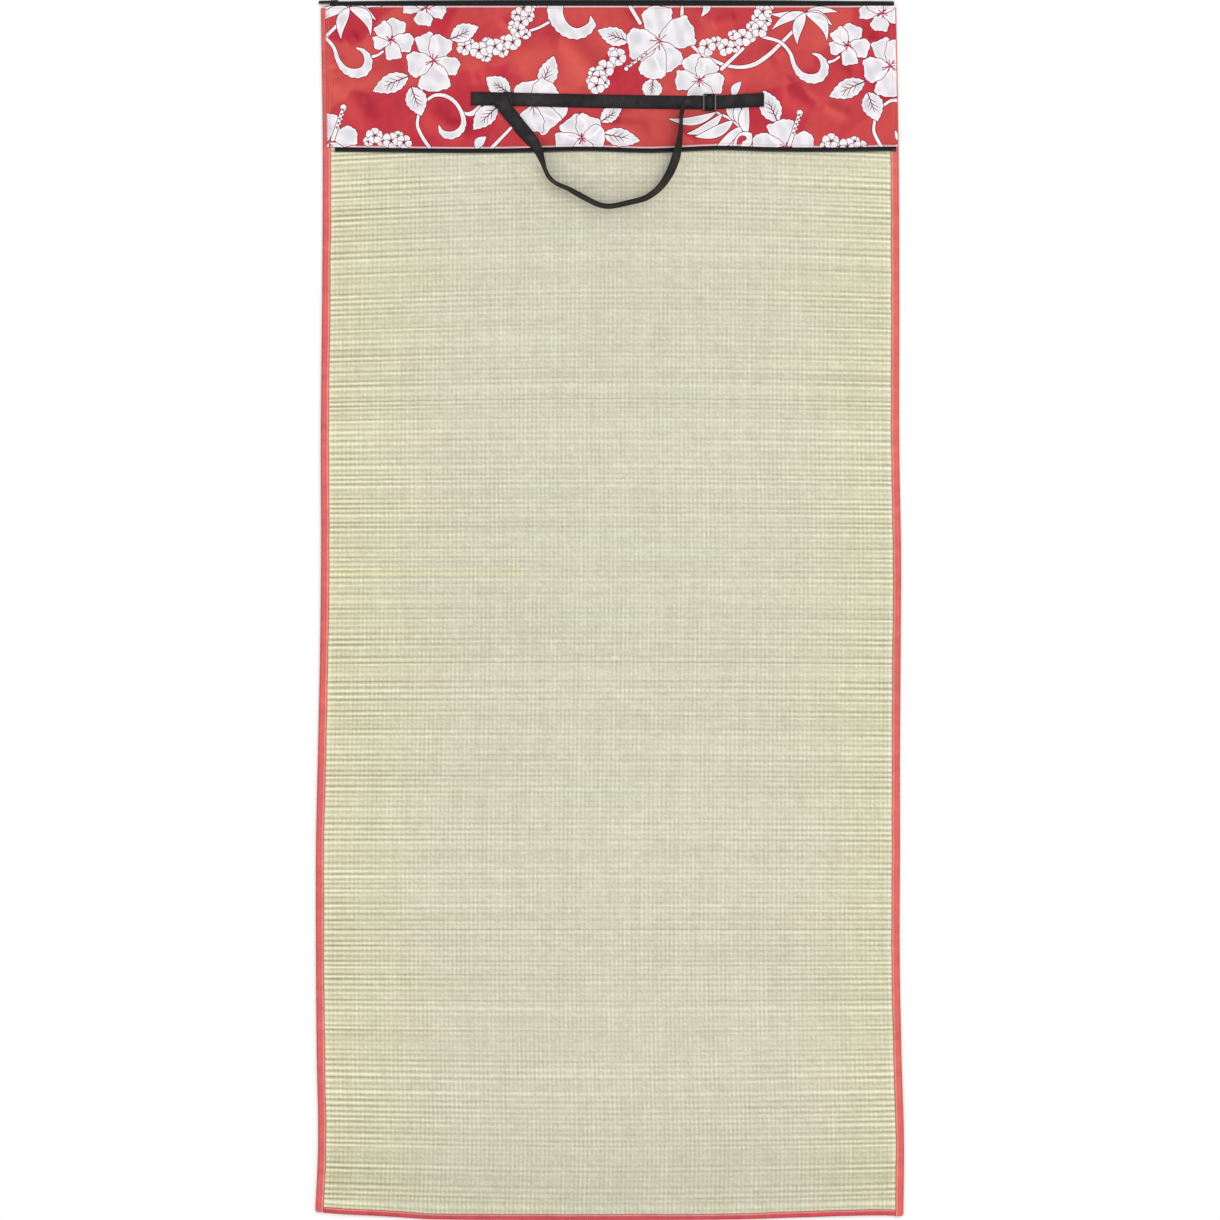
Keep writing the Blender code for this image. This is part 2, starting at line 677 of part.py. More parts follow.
def make_pull(collection, cutters):
    """The pull leans outwards from the bail, over the end of the left binding."""
    length, width, thick = PULL_SIZE
    low = (PULL_EYE * 2 - length, -width / 2, -thick / 2)
    high = (PULL_EYE * 2, width / 2, thick / 2)
    pull = box_between("zip_pull", low, high, collection, DARK_METAL)
    round_edges(pull, 0.35 * MM)
    slider_end = SLIDER_X - SLIDER_LENGTH / 2
    rise = (BAIL_X - slider_end) * math.tan(PULL_TILT)
    z = SLIDER_Z[1] + 1.5 * GAP + rise + thick / 2 / math.cos(PULL_TILT)
    pull.location = (BAIL_X, PULL_Y, z)
    pull.rotation_euler = (0, -PULL_TILT, 0)
    cut(pull, upright_rod("pull_eye", PULL_EYE, (BAIL_X, PULL_Y, z), thick * 4, cutters))


def make_end_pieces(collection):
    """The pin of the head half and the box of the foot half, at the right ends of the coils."""
    x = HEAD_ZIP_X[1] + GAP
    y = head_zip_free_y(HEAD_ZIP_X[1])
    z = head_tape_low(HEAD_ZIP_X[1])
    low = (x, y - COIL_WIDTH - 1.4 * MM, z)
    high = (x + END_PIECE_LENGTH, y, z + COIL_HEIGHT)
    pin = box_between("zip_pin_head", low, high, collection, PALE_PLASTIC)
    round_edges(pin, 0.3 * MM)
    x = FOOT_ZIP_X[1] + GAP
    y = foot_zip_free_y(FOOT_ZIP_X[1])
    low = (x, y, FOOT_TAPE_LOW)
    high = (x + END_PIECE_LENGTH, y + COIL_WIDTH + 1.6 * MM, FOOT_TAPE_LOW + COIL_HEIGHT)
    box = box_between("zip_box_foot", low, high, collection, PALE_PLASTIC)
    round_edges(box, 0.3 * MM)


def band_y(x):
    return curve_at([row.x for row in BAND_ROUTE], [row.y for row in BAND_ROUTE], x)


def web_section(middle, across, normal, width, thick):
    """Four corners of flat webbing."""
    side = across * (width / 2)
    face = normal * (thick / 2)
    return [middle - side - face, middle + side - face, middle + side + face, middle - side + face]


def make_band(collection):
    sections = []
    ends = (BAND_ROUTE[0].x, BAND_ROUTE[-1].x)
    for x in steps_between(ends, BAND_STEPS):
        middle = Vector((x, band_y(x), BAND_LOW + BAND_THICK / 2))
        up = Vector((0, 0, 1))
        sections.append(web_section(middle, Vector((0, 1, 0)), up, WEB_WIDTH, BAND_THICK))
    new_object("band", lambda bm: loft(bm, sections), WEBBING, collection)


def handle_rows():
    """The hand-placed rows, then the run on the band, under and over the adjuster's bars."""
    rows = list(HANDLE_ROUTE)
    over, under = OVER_BAR / MM, UNDER_BAR / MM
    centre = ADJUSTER_X / MM
    weave = [(-9.6, under), (-6.1, under), (-2.2, over), (2.2, over), (6.1, under), (9.6, under)]
    for offset, base in weave:
        x = centre + offset
        rows.append(HandleRow(x, band_y(x * MM) / MM, base, 90, 0, 20))
    for x in (175, 200, HANDLE_END_X / MM):
        rows.append(HandleRow(x, band_y(x * MM) / MM, under + 0.05, 90, 0, 20))
    return rows


def handle_sections():
    """Webbing sections along the smooth route through the rows."""
    rows = handle_rows()
    knots = [0.0]
    for a, b in zip(rows, rows[1:]):
        knots.append(knots[-1] + math.dist((a.x, a.y, a.base), (b.x, b.y, b.base)))
    places = []
    for start, end in zip(knots, knots[1:]):
        places += [start + (end - start) * i / SAMPLES_PER_ROW for i in range(SAMPLES_PER_ROW)]
    places.append(knots[-1])

    def value(column, at, monotone):
        return curve_at(knots, [getattr(row, column) for row in rows], at, monotone)

    middles, acrosses, widths = [], [], []
    for at in places:
        tilt = math.radians(value("tilt", at, True))
        aim = math.radians(value("aim", at, False))
        width = value("width", at, True)
        low_edge = width / 2 * math.sin(tilt) + HANDLE_THICK / MM / 2 * math.cos(tilt)
        middle = (value("x", at, False), value("y", at, False), value("base", at, True) + low_edge)
        middles.append(Vector(middle) * MM)
        flat = math.cos(tilt)
        acrosses.append(Vector((flat * math.cos(aim), flat * math.sin(aim), math.sin(tilt))))
        widths.append(width * MM)

    sections = []
    for i, middle in enumerate(middles):
        before, after = middles[max(i - 1, 0)], middles[min(i + 1, len(middles) - 1)]
        back = (middle - before).normalized()
        ahead = (after - middle).normalized()
        normal = (back + ahead).cross(acrosses[i]).normalized()
        sections.append(web_section(middle, acrosses[i], normal, widths[i], HANDLE_THICK))
    return sections


def make_handle(collection):
    handle = new_object("handle", lambda bm: loft(bm, handle_sections()), WEBBING, collection)
    handle.data.shade_smooth()
    handle.data.set_sharp_from_angle(angle=math.radians(40))


def make_adjuster(collection, cutters):
    """A rounded frame whose outer bars pass over the handle and whose centre bar passes under it."""
    y = band_y(ADJUSTER_X)
    half_length, half_width = ADJUSTER_LENGTH / 2, ADJUSTER_WIDTH / 2
    low = (ADJUSTER_X - half_length, y - half_width, ADJUSTER_LOW)
    high = (ADJUSTER_X + half_length, y + half_width, ADJUSTER_HIGH)
    frame = box_between("adjuster", low, high, collection, BLACK_PLASTIC)
    slot_low, slot_high = y - SLOT_WIDTH / 2, y + SLOT_WIDTH / 2
    bar_in, bar_out = OUTER_BAR_AT - OUTER_BAR / 2, OUTER_BAR_AT + OUTER_BAR / 2
    for side, name in ((-1, "left"), (1, "right")):
        xs = sorted((ADJUSTER_X + side * CENTRE_BAR / 2, ADJUSTER_X + side * bar_in))
        corner = (xs[0], slot_low, ADJUSTER_LOW - MM)
        opposite = (xs[1], slot_high, ADJUSTER_HIGH + MM)
        cut(frame, box_between("slot_" + name, corner, opposite, cutters))
        xs = sorted((ADJUSTER_X + side * (bar_in - MM), ADJUSTER_X + side * (bar_out + 2 * MM)))
        corner = (xs[0], slot_low, ADJUSTER_LOW - MM)
        opposite = (xs[1], slot_high, OUTER_BAR_LOW)
        cut(frame, box_between("under_bar_" + name, corner, opposite, cutters))
    corner = (ADJUSTER_X - CENTRE_BAR, slot_low, CENTRE_BAR_HIGH)
    opposite = (ADJUSTER_X + CENTRE_BAR, slot_high, ADJUSTER_HIGH + MM)
    cut(frame, box_between("over_centre_bar", corner, opposite, cutters))
    round_edges(frame, 0.4 * MM, 1)


def main():
    clear_scene()
    mat = new_collection("beach_mat")
    cutters = new_collection("cutters")
    new_object("straw_sheet", build_straw, STRAW, mat)
    make_bindings(mat)
    make_panel(mat)
    make_zip_halves(mat)
    make_slider(mat, cutters)
    make_pull(mat, cutters)
    make_end_pieces(mat)
    make_band(mat)
    make_handle(mat)
    make_adjuster(mat, cutters)


main()
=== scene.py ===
"""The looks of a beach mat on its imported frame: straw, binding tape, printed panel, zip, webbing.

Tables and sizes are in millimetres in the frame's axes, with +Y towards the head and +Z up.
"""

import math
import random

import bpy
import numpy as np
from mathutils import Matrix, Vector
from mathutils.geometry import delaunay_2d_cdt
from mathutils.kdtree import KDTree


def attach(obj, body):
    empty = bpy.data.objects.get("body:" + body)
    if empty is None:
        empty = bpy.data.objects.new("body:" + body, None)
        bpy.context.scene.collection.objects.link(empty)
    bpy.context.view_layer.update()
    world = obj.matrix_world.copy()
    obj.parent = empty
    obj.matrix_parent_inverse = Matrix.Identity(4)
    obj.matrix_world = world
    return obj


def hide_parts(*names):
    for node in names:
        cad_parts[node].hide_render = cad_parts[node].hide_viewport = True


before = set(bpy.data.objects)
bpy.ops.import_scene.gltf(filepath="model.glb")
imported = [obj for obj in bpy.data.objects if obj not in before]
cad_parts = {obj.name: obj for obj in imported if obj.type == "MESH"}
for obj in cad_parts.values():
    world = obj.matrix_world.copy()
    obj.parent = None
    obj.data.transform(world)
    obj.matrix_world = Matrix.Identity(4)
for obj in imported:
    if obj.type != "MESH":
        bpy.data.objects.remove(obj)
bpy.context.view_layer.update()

MM = 0.001
BODY = "root"

# Share of full white that a level white surface shows under this scene's lights.
LIGHT_LEVEL = 1.10
# Display colours, of 0 to 255.
STRAW_MIDDLE = np.array((216, 213, 189))
STRAW_EDGE = np.array((222, 216, 178))
STRAW_GREEN = np.array((-1.2, 0.6, -0.2))
STRAW_WARM = np.array((0.9, -0.2, -1.0))
TAPE_COLOURS = {
    "binding_left": (230, 108, 104),
    "binding_right": (232, 112, 104),
    "binding_foot": (214, 84, 92),
}
# Painted highlight on the binding tape's fold ridge.
TAPE_RIDGE_HIGHLIGHT = (240, 146, 136)
THREAD = (236, 140, 138)
CLOTH_RED = (202, 68, 72)
CLOTH_UNDER = (196, 72, 78)
# Painted highlight on the panel's folded hem edge.
HEM_FOLD_HIGHLIGHT = (255, 206, 209)
PETAL_WHITE = (254, 249, 251)
PETAL_GREY = (224, 221, 227)
LINE_PLUM = (112, 22, 56)
STAR_CRIMSON = (186, 24, 66)
ZIP_TAPE = (35, 35, 36)
ZIP_COIL = (33, 35, 36)
WEBBING = (37, 34, 35)
PLASTIC = (30, 32, 33)
METAL = (42, 42, 44)
ZIP_END = (40, 38, 40)

# Long edges of the mat: y, left x, right x, from the foot to the head.
SIDE_EDGES = np.array([
    (-888, -434, 433), (-797, -430, 434), (-649, -432, 430),
    (-502, -433, 427.5), (-354, -433, 428), (-207, -430, 428),
    (-59, -427, 429), (88, -425.5, 429.5), (236, -426, 427),
    (457, -424, 427), (678, -423, 426), (900, -426, 422),
])
# Foot edge: x, y.
FOOT_EDGE = np.array([
    (-434, -888), (-398, -891), (-339, -894), (-250, -899), (-30, -900),
    (180, -899), (280, -896), (400, -893), (434, -894),
])

# Straw sheet.
STRAW_HEAD_Y = 882.0
STRAW_TOP = 2.6
PRESSED_LOW = 1.1
PRESSED_HIGH = 2.2
RIB_START_Y = 694.0
RIB_PITCH = 7.55
RIB_PHASES = (0.0, 0.26, 0.5, 0.76)
RIB_PROFILE = (-1.0, 0.35, 1.0, 0.35)
# Painted shade and highlight across a rib, from the trough to the crest.
RIB_SHADING = (-1.0, -0.15, 1.0, -0.05)
CREST_SIDE = 0.42
CREST_MIDDLE = 0.20
WARP_PITCH = 6.2
WARP_RELIEF_SIDE = 0.05
WARP_RELIEF_MIDDLE = 0.11
UNDER_RELIEF = 0.25
STRAW_PIECES = 4
# Columns at each long edge, distance in: the strip pressed under the tape, and its ramp.
COLUMN_INSETS = np.array((1.1, 7.0, 12.3, 14.2, 16.4, 18.6))
PRESSED_WIDTH = 12.5
PRESSED_RAMP = 6.0
STRAW_WIDTH = 850
HIDDEN_ROW_PITCH = 24.0
# Rows at the foot: how far in from the foot edge they are, and each row's share of the rib height.
FOOT_INSET = 13.0
FOOT_PRESSED = (11.2, 9.0, 5.0, 3.1)
FOOT_SHARES = (0.3, 1.0, -0.7, 0.6, 0.0, 0.0, 0.0)
# Rows that aren't straight: y, how far their middle is from their ends, rise to the right end.
ROW_BOW = np.array([
    (-889, -9, -0.5), (-785, -6, -0.6), (-605, -3, 0), (-428, 0.8, 0),
    (-251, 0.8, -3), (-74, 2.6, -1), (103, 1.6, -1.5), (266, 4.8, 0),
    (413, 9, 2.2), (545, 12, 4.2), (660, 14, 4.5), (720, 12, 3),
    (882, 0, 0),
])
ROW_BOW_POWER = 1.6
# How quickly the ribs fade from the long edges: distance, and strength at the left and right.
RIB_FADE = 115.0
RIB_LEFT = 1.0
RIB_RIGHT = 0.7

# Binding tape.
BIND_WIDTH = 12.0
FOOT_BIND_WIDTH = 8.6
BIND_HEAD_Y = 887.0
# Section of the folded tape: share of its width inwards, height, painted shade (darker on the rolled
# edges and the underside), where 2 is the painted highlight strip on the fold's ridge.
TAPE_SECTION = [
    (0.045, 0.00, 0.62), (0.000, 0.80, 0.60), (0.000, 1.90, 0.62), (0.035, 2.70, 0.68),
    (0.110, 3.15, 0.80), (0.220, 3.32, 0.95), (0.380, 3.34, 1.00), (0.520, 3.28, 0.97),
    (0.620, 3.18, 0.92), (0.690, 3.22, 0.90), (0.750, 3.42, 2.00), (0.885, 3.40, 2.00),
    (0.930, 3.16, 0.80), (0.995, 2.85, 0.55), (0.990, 2.58, 0.45), (0.900, 2.48, 0.45),
    (0.300, 2.42, 0.45), (0.090, 2.05, 0.45), (0.080, 1.20, 0.45), (0.300, 0.86, 0.45),
    (0.900, 0.82, 0.45), (0.990, 0.62, 0.60), (0.985, 0.12, 0.70), (0.900, 0.00, 0.80),
    (0.500, 0.00, 0.90),
]
TAPE_STITCH_AT = 0.64
CORNER_RADIUS = 4.0
CORNER_TURNS = (22, 42, 60, 76, 88)
SIDE_STEPS = 352
FOOT_STEPS = 168
# The binding's stitches: pitch, length, radius.
TAPE_STITCH = (3.5, 2.7, 0.28)
TAPE_STITCH_Z = 3.28
# A stitch's rings: share of its length and of its radius, and lift in radii.
STITCH_RINGS = ((-0.5, 0.35, -0.6), (0.0, 1.0, 0.3), (0.5, 0.35, -0.6))

# Printed panel.
PANEL_HEAD_Y = 890.0
PANEL_FOOT_PAST_ZIP = 7.0
PANEL_LEFT_IN = 6.5
PANEL_RIGHT_IN = 1.5
PANEL_THICK = 1.2
PANEL_LOW = 3.2
PANEL_OVER_BINDING = 3.8
PANEL_OVER_ZIP = 4.7
PANEL_LEVEL_PAST = 2.0
PANEL_RAMP = 15.0
PANEL_GRID = 3.2
UNDER_GRID = 14
HEM_FOLD = 3.0
HEM_GROOVE = 3.9
# The cloth's rise and dip along its head and foot edges: height, distance in, reach.
HEM_SWELLS = ((0.35, 1.3, 1.1), (-0.30, 3.2, 0.9))
EDGE_ROUNDING = 0.5
# Rows of stitches: distance in from the panel's edge, then a stitch's pitch, length and radius.
SEAMS = {
    "seam_left": (4.5, 3.3, 2.6, 0.46),
    "seam_left_outer": (1.3, 3.3, 2.6, 0.46),
    "seam_right": (5.8, 3.3, 2.5, 0.34),
    "seam_head": (3.5, 3.0, 2.3, 0.26),
    "seam_foot": (3.5, 3.0, 2.3, 0.26),
}
SIDE_SEAM_Y = (887.0, 686.0)
HEM_SEAM_X = (-411.0, 418.0)
# Soft ridges of the cloth: two ends, height, reach to each side.
CREASES = np.array([
    (-412, 764, -302, 802, 1.2, 16), (-388, 774, -351, 712, 1, 15), (-206, 790, -70, 852, 1.7, 20),
    (-73, 852, -14, 783, 1.3, 18), (3, 846, 36, 876, 1, 13), (45, 811, 133, 868, 1.1, 18),
    (166, 790, 245, 820, 1.5, 17), (250, 768, 303, 738, 1.3, 15), (291, 752, 354, 802, 1.3, 15),
    (372, 806, 402, 740, 1.1, 18), (-272, 733, -206, 697, 1.2, 16), (-20, 721, 60, 702, 1.1, 17),
    (-413, 768, -352, 781, 0.8, 7), (-411, 800, -390, 813, 0.6, 5), (-410, 786, -383, 799, 0.5, 5),
    (-391, 836, -372, 847, 0.7, 7), (-361, 764, -363, 706, 0.8, 8), (-198, 806, -194, 772, 0.9, 8),
    (-262, 720, -222, 716, 0.6, 6), (-227, 757, -208, 764, 0.7, 6), (4, 856, 28, 882, 0.8, 7),
    (-160, 872, -138, 848, 0.7, 7), (-66, 812, -30, 826, 0.7, 8), (150, 862, 186, 874, 0.8, 8),
    (256, 764, 268, 784, 0.8, 7), (282, 788, 330, 776, 0.7, 7), (318, 744, 352, 728, 0.8, 8),
    (236, 812, 262, 826, 0.7, 7), (100, 706, 128, 690, 0.7, 7), (374, 842, 408, 832, 0.7, 8),
])
CREASE_FADE = 22.0
FACET_BORDER = 2.2
# The box under the band where the cloth lies without creases.
CALM_LOW = (-230, 728)
CALM_HIGH = (250, 770)
CALM_RAMP = 14.0

# Print: a hibiscus repeat.
REPEAT = np.array((672.6, -8.0))
LINE_WIDTH = 1.05
# Flowers: the middle, then each petal's aim in degrees, length and width.
FLOWERS = [
    ((-322.2, 840.1), [
        (72, 32.0, 29.5), (-10, 32.9, 28.0), (-79, 30.8, 23.6), (-166, 28.1, 20.7), (130, 30.9, 23.6),
    ]),
    ((-260.1, 809.1), [
        (112, 44.6, 29.5), (67, 40.0, 33.9), (-16, 40.0, 26.6), (-89, 47.2, 45.7), (-169, 39.8, 36.9),
    ]),
    ((-270.7, 887.4), [
        (180, 36.3, 19.2), (-105, 27.5, 26.6), (-12, 29.5, 25.1), (63, 26.4, 23.6), (131, 27.2, 23.6),
    ]),
    ((-413.4, 688.5), [
        (104, 44.0, 39.8), (16, 43.0, 29.5), (170, 49.5, 29.5), (-59, 34.4, 29.5), (-135, 37.5, 29.5),
    ]),
    ((-113.2, 743.0), [
        (108, 38.7, 39.8), (48, 43.9, 36.9), (-10, 52.4, 25.1), (-46, 46.9, 39.8), (-96, 41.5, 39.8),
    ]),
    ((-40.9, 694.4), [
        (127, 36.9, 36.9), (69, 37.8, 36.9), (7, 34.2, 33.9), (-168, 42.2, 32.5), (-85, 32.6, 36.9),
    ]),
    ((72.5, 837.7), [
        (92, 52.4, 44.2), (21, 57.0, 45.7), (-60, 49.6, 38.4), (-103, 59.0, 38.4), (-173, 46.8, 47.2),
    ]),
    ((131.9, 779.8), [
        (109, 40.6, 31.0), (60, 35.7, 32.5), (-7, 37.1, 31.0), (178, 36.9, 29.5), (-85, 35.5, 39.8),
    ]),
]
LILY = (-384.3, 887.7)
# Lily petals: tip x, tip y, width, bend.
LILY_PETALS = [
    (-437.4, 886.3, 11, 0.05), (-434.5, 861.9, 12.5, -0.10), (-335.6, 888.5, 10.5, 0.08),
    (-344, 868.6, 13, 0.10), (-352.9, 845, 16.5, 0.22), (-395.8, 840.5, 15.5, -0.12),
]
# The hollow of a rolled frond: points of x, y, width.
HOLLOW = [(190.6, 686.0, 6.0), (191.4, 690.5, 7.4), (194.6, 694.6, 8.2), (198.2, 694.8, 6.6)]
# Leaves and fronds: base x, base y, tip x, tip y, width.
LEAVES = [
    (-296.8, 786.5, -349.1, 764.1, 28), (-292.6, 770.5, -277.7, 728.1, 31),
    (-234.7, 841.1, -193.3, 859.1, 26.6), (-101.4, 769.6, -82.5, 816.2, 28),
    (-147.1, 760.7, -181.9, 784.5, 29.5), (-165.6, 741.6, -201.1, 707.6, 28),
    (28.1, 837.7, -17.8, 854.2, 26.6), (64.2, 782.9, 59.4, 750.4, 29.5),
    (-13.3, 719.4, 18.1, 740.1, 22.1), (-9.5, 701.4, 44.6, 691, 26.6),
    (247.3, 719.1, 226.8, 765.2, 31),
]
FRONDS = [
    (156.7, 733.4, 86.1, 724, 12.5), (165.6, 730.5, 113.1, 701.4, 13.3),
    (181.8, 720.9, 125.9, 697, 16.2), (195.1, 712.1, 157.5, 682.6, 16.2),
    (202.4, 700.3, 172.9, 678.1, 14.8), (187.7, 719.4, 172.9, 753.4, 11.8),
    (193.6, 713.5, 188.4, 748.9, 13.3), (202.4, 700.3, 204.7, 748.9, 15.5),
    (181.8, 756.3, 194, 778.4, 11.8), (-197.6, 679.6, -181.9, 697, 13.3), (209, 702, 181, 682, 24),
]
# Stems: points of x, y, width.
STEMS = [
    [(-334.5, 822.7, 3.2), (-341.8, 817.5, 3.2), (-349.2, 815.3, 4.4)],
    [
        (270.3, 852.9, 4.4), (252.9, 835.4, 4.7), (230.5, 814.6, 5.9), (212.8, 803.5, 5.9),
        (192.1, 799.4, 5.0), (174.1, 801.6, 4.7), (151.4, 810.6, 4.4), (127.4, 825.6, 4.4),
        (119.8, 833.2, 4.4),
    ],
    [(196.5, 827.1, 4.4), (165.0, 797.0, 5.3)],
    [(27.4, 893.5, 5.3), (44.6, 864.7, 5.0)],
    [(107.0, 893.5, 4.4), (106.3, 874.3, 4.4)],
    [(-281.9, 729.8, 3.8), (-283.4, 714.0, 4.4), (-277.1, 698.5, 4.7), (-264.8, 679.6, 4.7)],
    [(-215.9, 733.7, 2.2), (-209.1, 730.5, 5.2), (-203.2, 731.5, 7.4), (-191.8, 741.6, 4.4)],
    [(-174.7, 679.6, 5.2), (-145.4, 710.4, 3.8)],
    [(-117.0, 853.5, 3.7), (-102.9, 858.5, 3.7), (-90.3, 865.5, 3.7)],
    [(142.0, 896.4, 13.3), (142.7, 886.1, 11.1), (136.1, 875.5, 2.2)],
    [(156.7, 733.4, 2.5), (181.8, 720.9, 4.0), (202.4, 700.3, 5.0)],
]
# Scrolls: the same, with a scalloped outer side, the depth of the scallops first.
SCROLLS = [
    (1.6, [
        (-448.5, 852.9, 4.4), (-419.7, 843.3, 4.4), (-406.9, 828.9, 4.7), (-399.8, 809.1, 5.9),
        (-389.9, 796.4, 8.9), (-375.8, 791.0, 12.5), (-363.1, 793.9, 13.3), (-356.6, 805.0, 11.8),
        (-358.6, 816.8, 8.1), (-365.4, 824.9, 5.2), (-373.0, 827.7, 2.2),
    ]),
    (-1.5, [
        (-269.3, 751.1, 3.7), (-258.6, 757.9, 4.4), (-244.6, 757.9, 5.0), (-230.5, 750.4, 5.0),
        (-220.9, 737.9, 5.0), (-216.5, 726.8, 5.9), (-215.9, 715.3, 7.1), (-221.5, 705.4, 8.9),
        (-234.2, 699.4, 10.3), (-243.0, 701.0, 8.9), (-248.8, 705.6, 5.9), (-251.4, 712.8, 2.2),
    ]),
    (1.8, [
        (-79.0, 896.4, 22.1), (-79.6, 878.7, 21.4), (-73.4, 864.0, 19.2), (-61.6, 852.9, 17.0),
        (-48.3, 849.5, 14.8), (-35.8, 853.7, 14.0), (-26.9, 863.2, 10.3), (-28.2, 874.6, 1.5),
    ]),
]
# Small blossoms: x, y, radius.
BLOSSOMS = [
    (-346.3, 698.5, 12.5), (-322.2, 690.7, 12.5), (-303.2, 688.5, 11.1), (-214.2, 829.3, 11.8),
    (-192.6, 824.6, 13.3), (-169.0, 830.2, 13.0), (-142.7, 836.3, 13.0), (-134.6, 853.7, 11.1),
    (-130.9, 866.2, 11.1), (-127.2, 886.7, 12.5), (12.3, 813.5, 13.3), (-6.6, 797.0, 13.3),
    (-15.9, 784.3, 11.8), (-19.8, 772.5, 13.3), (143.1, 830.2, 13.3), (171.0, 828.9, 12.5),
    (195.8, 843.3, 13.3), (220.9, 856.2, 12.5), (225.7, 881.7, 13.3),
]
# Smaller blossoms that fill the chains: the same.
BLOSSOM_FILL = [
    (-207.0, 835.0, 8.5), (-182.0, 815.0, 8.5), (-181.0, 836.5, 8.0), (-157.0, 822.5, 8.5),
    (-155.0, 838.0, 8.0), (-124.0, 848.0, 8.0), (-142.0, 860.0, 8.0), (-119.5, 874.5, 8.0),
    (-138.0, 876.5, 8.0), (-117.0, 889.0, 8.0), (5.0, 821.0, 8.5), (1.5, 803.0, 7.5),
    (-24.0, 792.0, 8.0), (-7.0, 776.5, 8.0), (-27.0, 780.0, 8.0), (157.0, 836.5, 8.5),
    (184.5, 829.0, 8.0), (182.0, 847.0, 7.5), (208.5, 844.0, 8.0), (209.5, 860.0, 8.0),
    (231.5, 867.5, 8.0), (217.0, 873.0, 8.0), (233.5, 889.0, 8.5), (-334.5, 690.0, 8.0),
    (-312.0, 698.5, 8.0), (-355.5, 690.0, 8.0),
]
# Stamen columns: foot x, foot y, head x, head y, width.
STAMENS = [
    (-408.2, 692.9, -392.7, 740.1, 5.2),
    (71.2, 833.0, 24.7, 797.6, 3.6),
]

# Separating zip.
TAPE_THICK = 0.8
TAPE_UNDER = 8.0
COIL_WIDTH = 2.6
COIL_HEIGHT = 2.0
COIL_PITCH = 2.1
HEAD_TAPE_LOW = 1.6
FOOT_TAPE_LOW = 3.6
HEAD_ZIP_FREE_Y = 897.0
HEAD_ZIP_CROWN = 3.0
HEAD_ZIP_X = (-412.5, 419.0)
FOOT_ZIP_X = (-405.0, 422.0)
HEAD_ZIP_RISE_X = (358.0, 389.0)
FOOT_ZIP_FREE = np.array([
    (-405, 674.6), (-162, 672.8), (-30, 675.4), (60, 673),
    (163, 676.8), (237, 674.8), (310, 674.2), (417, 675.6),
])

# Webbing.
WEB_WIDTH = 20.0
BAND_THICK = 1.2
HANDLE_THICK = 1.3
BAND_LOW = 4.7
BAND_ROUTE = np.array([
    (-204.7, 753.3), (-161, 752.6), (-90, 751), (-14, 749.4), (74, 748),
    (130, 747.4), (160, 747.7), (192, 749.7), (227.5, 751.6),
])
# Handle: x, y, base height, aim across, lean, width.
HANDLE_ROUTE = [
    (-143.5, 753, 6.3, 90, 0, 20), (-153, 752.6, 6.3, 70, 0, 21.5), (-162.5, 753, 6.3, 51, 0, 27),
    (-163.4, 753.7, 7.1, 51, 0, 27), (-162.2, 752.6, 7.9, 51, 0, 27), (-157, 745.5, 7.6, 48, 3, 23),
    (-150.8, 735.5, 5.2, 45, 3, 21), (-138, 719.5, 4.9, 43, 0, 20), (-127, 705.5, 5.4, 38, 4, 20),
    (-117.5, 694.5, 6, 36, 18, 20), (-109.5, 684, 6.2, 32, 42, 20), (-104, 673.5, 6.2, 24, 54, 20),
    (-100.4, 664, 6, 20, 63, 20), (-96.5, 652, 4.2, 20, 73, 20), (-90, 637.5, 3.5, 30, 76, 20),
    (-80.5, 628.5, 3.5, 54, 79, 20), (-62, 620, 3.5, 64, 77, 20), (-45.5, 611, 3.5, 62, 72, 20),
    (-6, 594, 3.5, 86, 74, 20), (27, 599, 3.5, 106, 74, 20), (56.5, 608, 3.5, 117, 70, 20),
    (74, 622, 3.5, 139, 64, 20), (88, 642.5, 3.7, 152, 56, 20), (96.5, 663, 5.9, 163, 52, 20),
    (100.5, 678, 6.2, 168, 58, 20), (103, 693, 6.2, 173, 68, 20), (105, 715, 5.5, 178, 74, 20),
    (106, 731, 5.6, 174, 74, 20), (110, 742.5, 6.4, 150, 68, 20), (118, 747.6, 6.4, 112, 44, 20),
    (128, 747.6, 6.3, 92, 14, 20),
]
HANDLE_END_X = 227.0
# Painted highlights and painted shade on the webbing: x, y, reach, change of tone.
BAND_PAINTED_LIGHT = [
    (-195, 753, 9, 0.5), (-170, 760, 8, -0.3), (-118, 754, 22, 0.5), (-60, 747, 26, -0.2),
    (10, 752, 24, 0.4), (70, 745, 20, -0.2), (112, 750, 16, 0.3),
]
HANDLE_PAINTED_LIGHT = [
    (-163, 757, 6, -0.55), (-153, 742, 7, 0.7), (-139, 722, 8, 0.5), (-128, 700, 7, -0.3),
    (-113, 694, 6, 1.5), (-106, 682, 6, 1.1), (-99, 664, 7, -0.45), (-84, 632, 9, 0.4),
    (-30, 604, 16, 0.5), (30, 600, 14, -0.3), (72, 620, 10, 0.5), (96, 664, 10, 0.5),
    (105, 718, 12, -0.4), (114, 744, 6, 0.8), (178, 755, 7, 0.9), (190, 746, 7, -0.45),
    (204, 752, 8, 0.5), (222, 750, 7, -0.3),
]
ADJUSTER_X = 147.0
ADJUSTER_SIZE = (19.6, 25.4)
SLIDE_RAIL = 2.3
SLIDE_CORNER = 1.6
SLIDE_LOW = 6.2
SLIDE_BRIDGE = 7.95
SLIDE_HIGH = 10.0
CENTRE_BAR = 3.8
CENTRE_HIGH = 1.65
OVER_BAR = 8.35
UNDER_BAR = 6.25
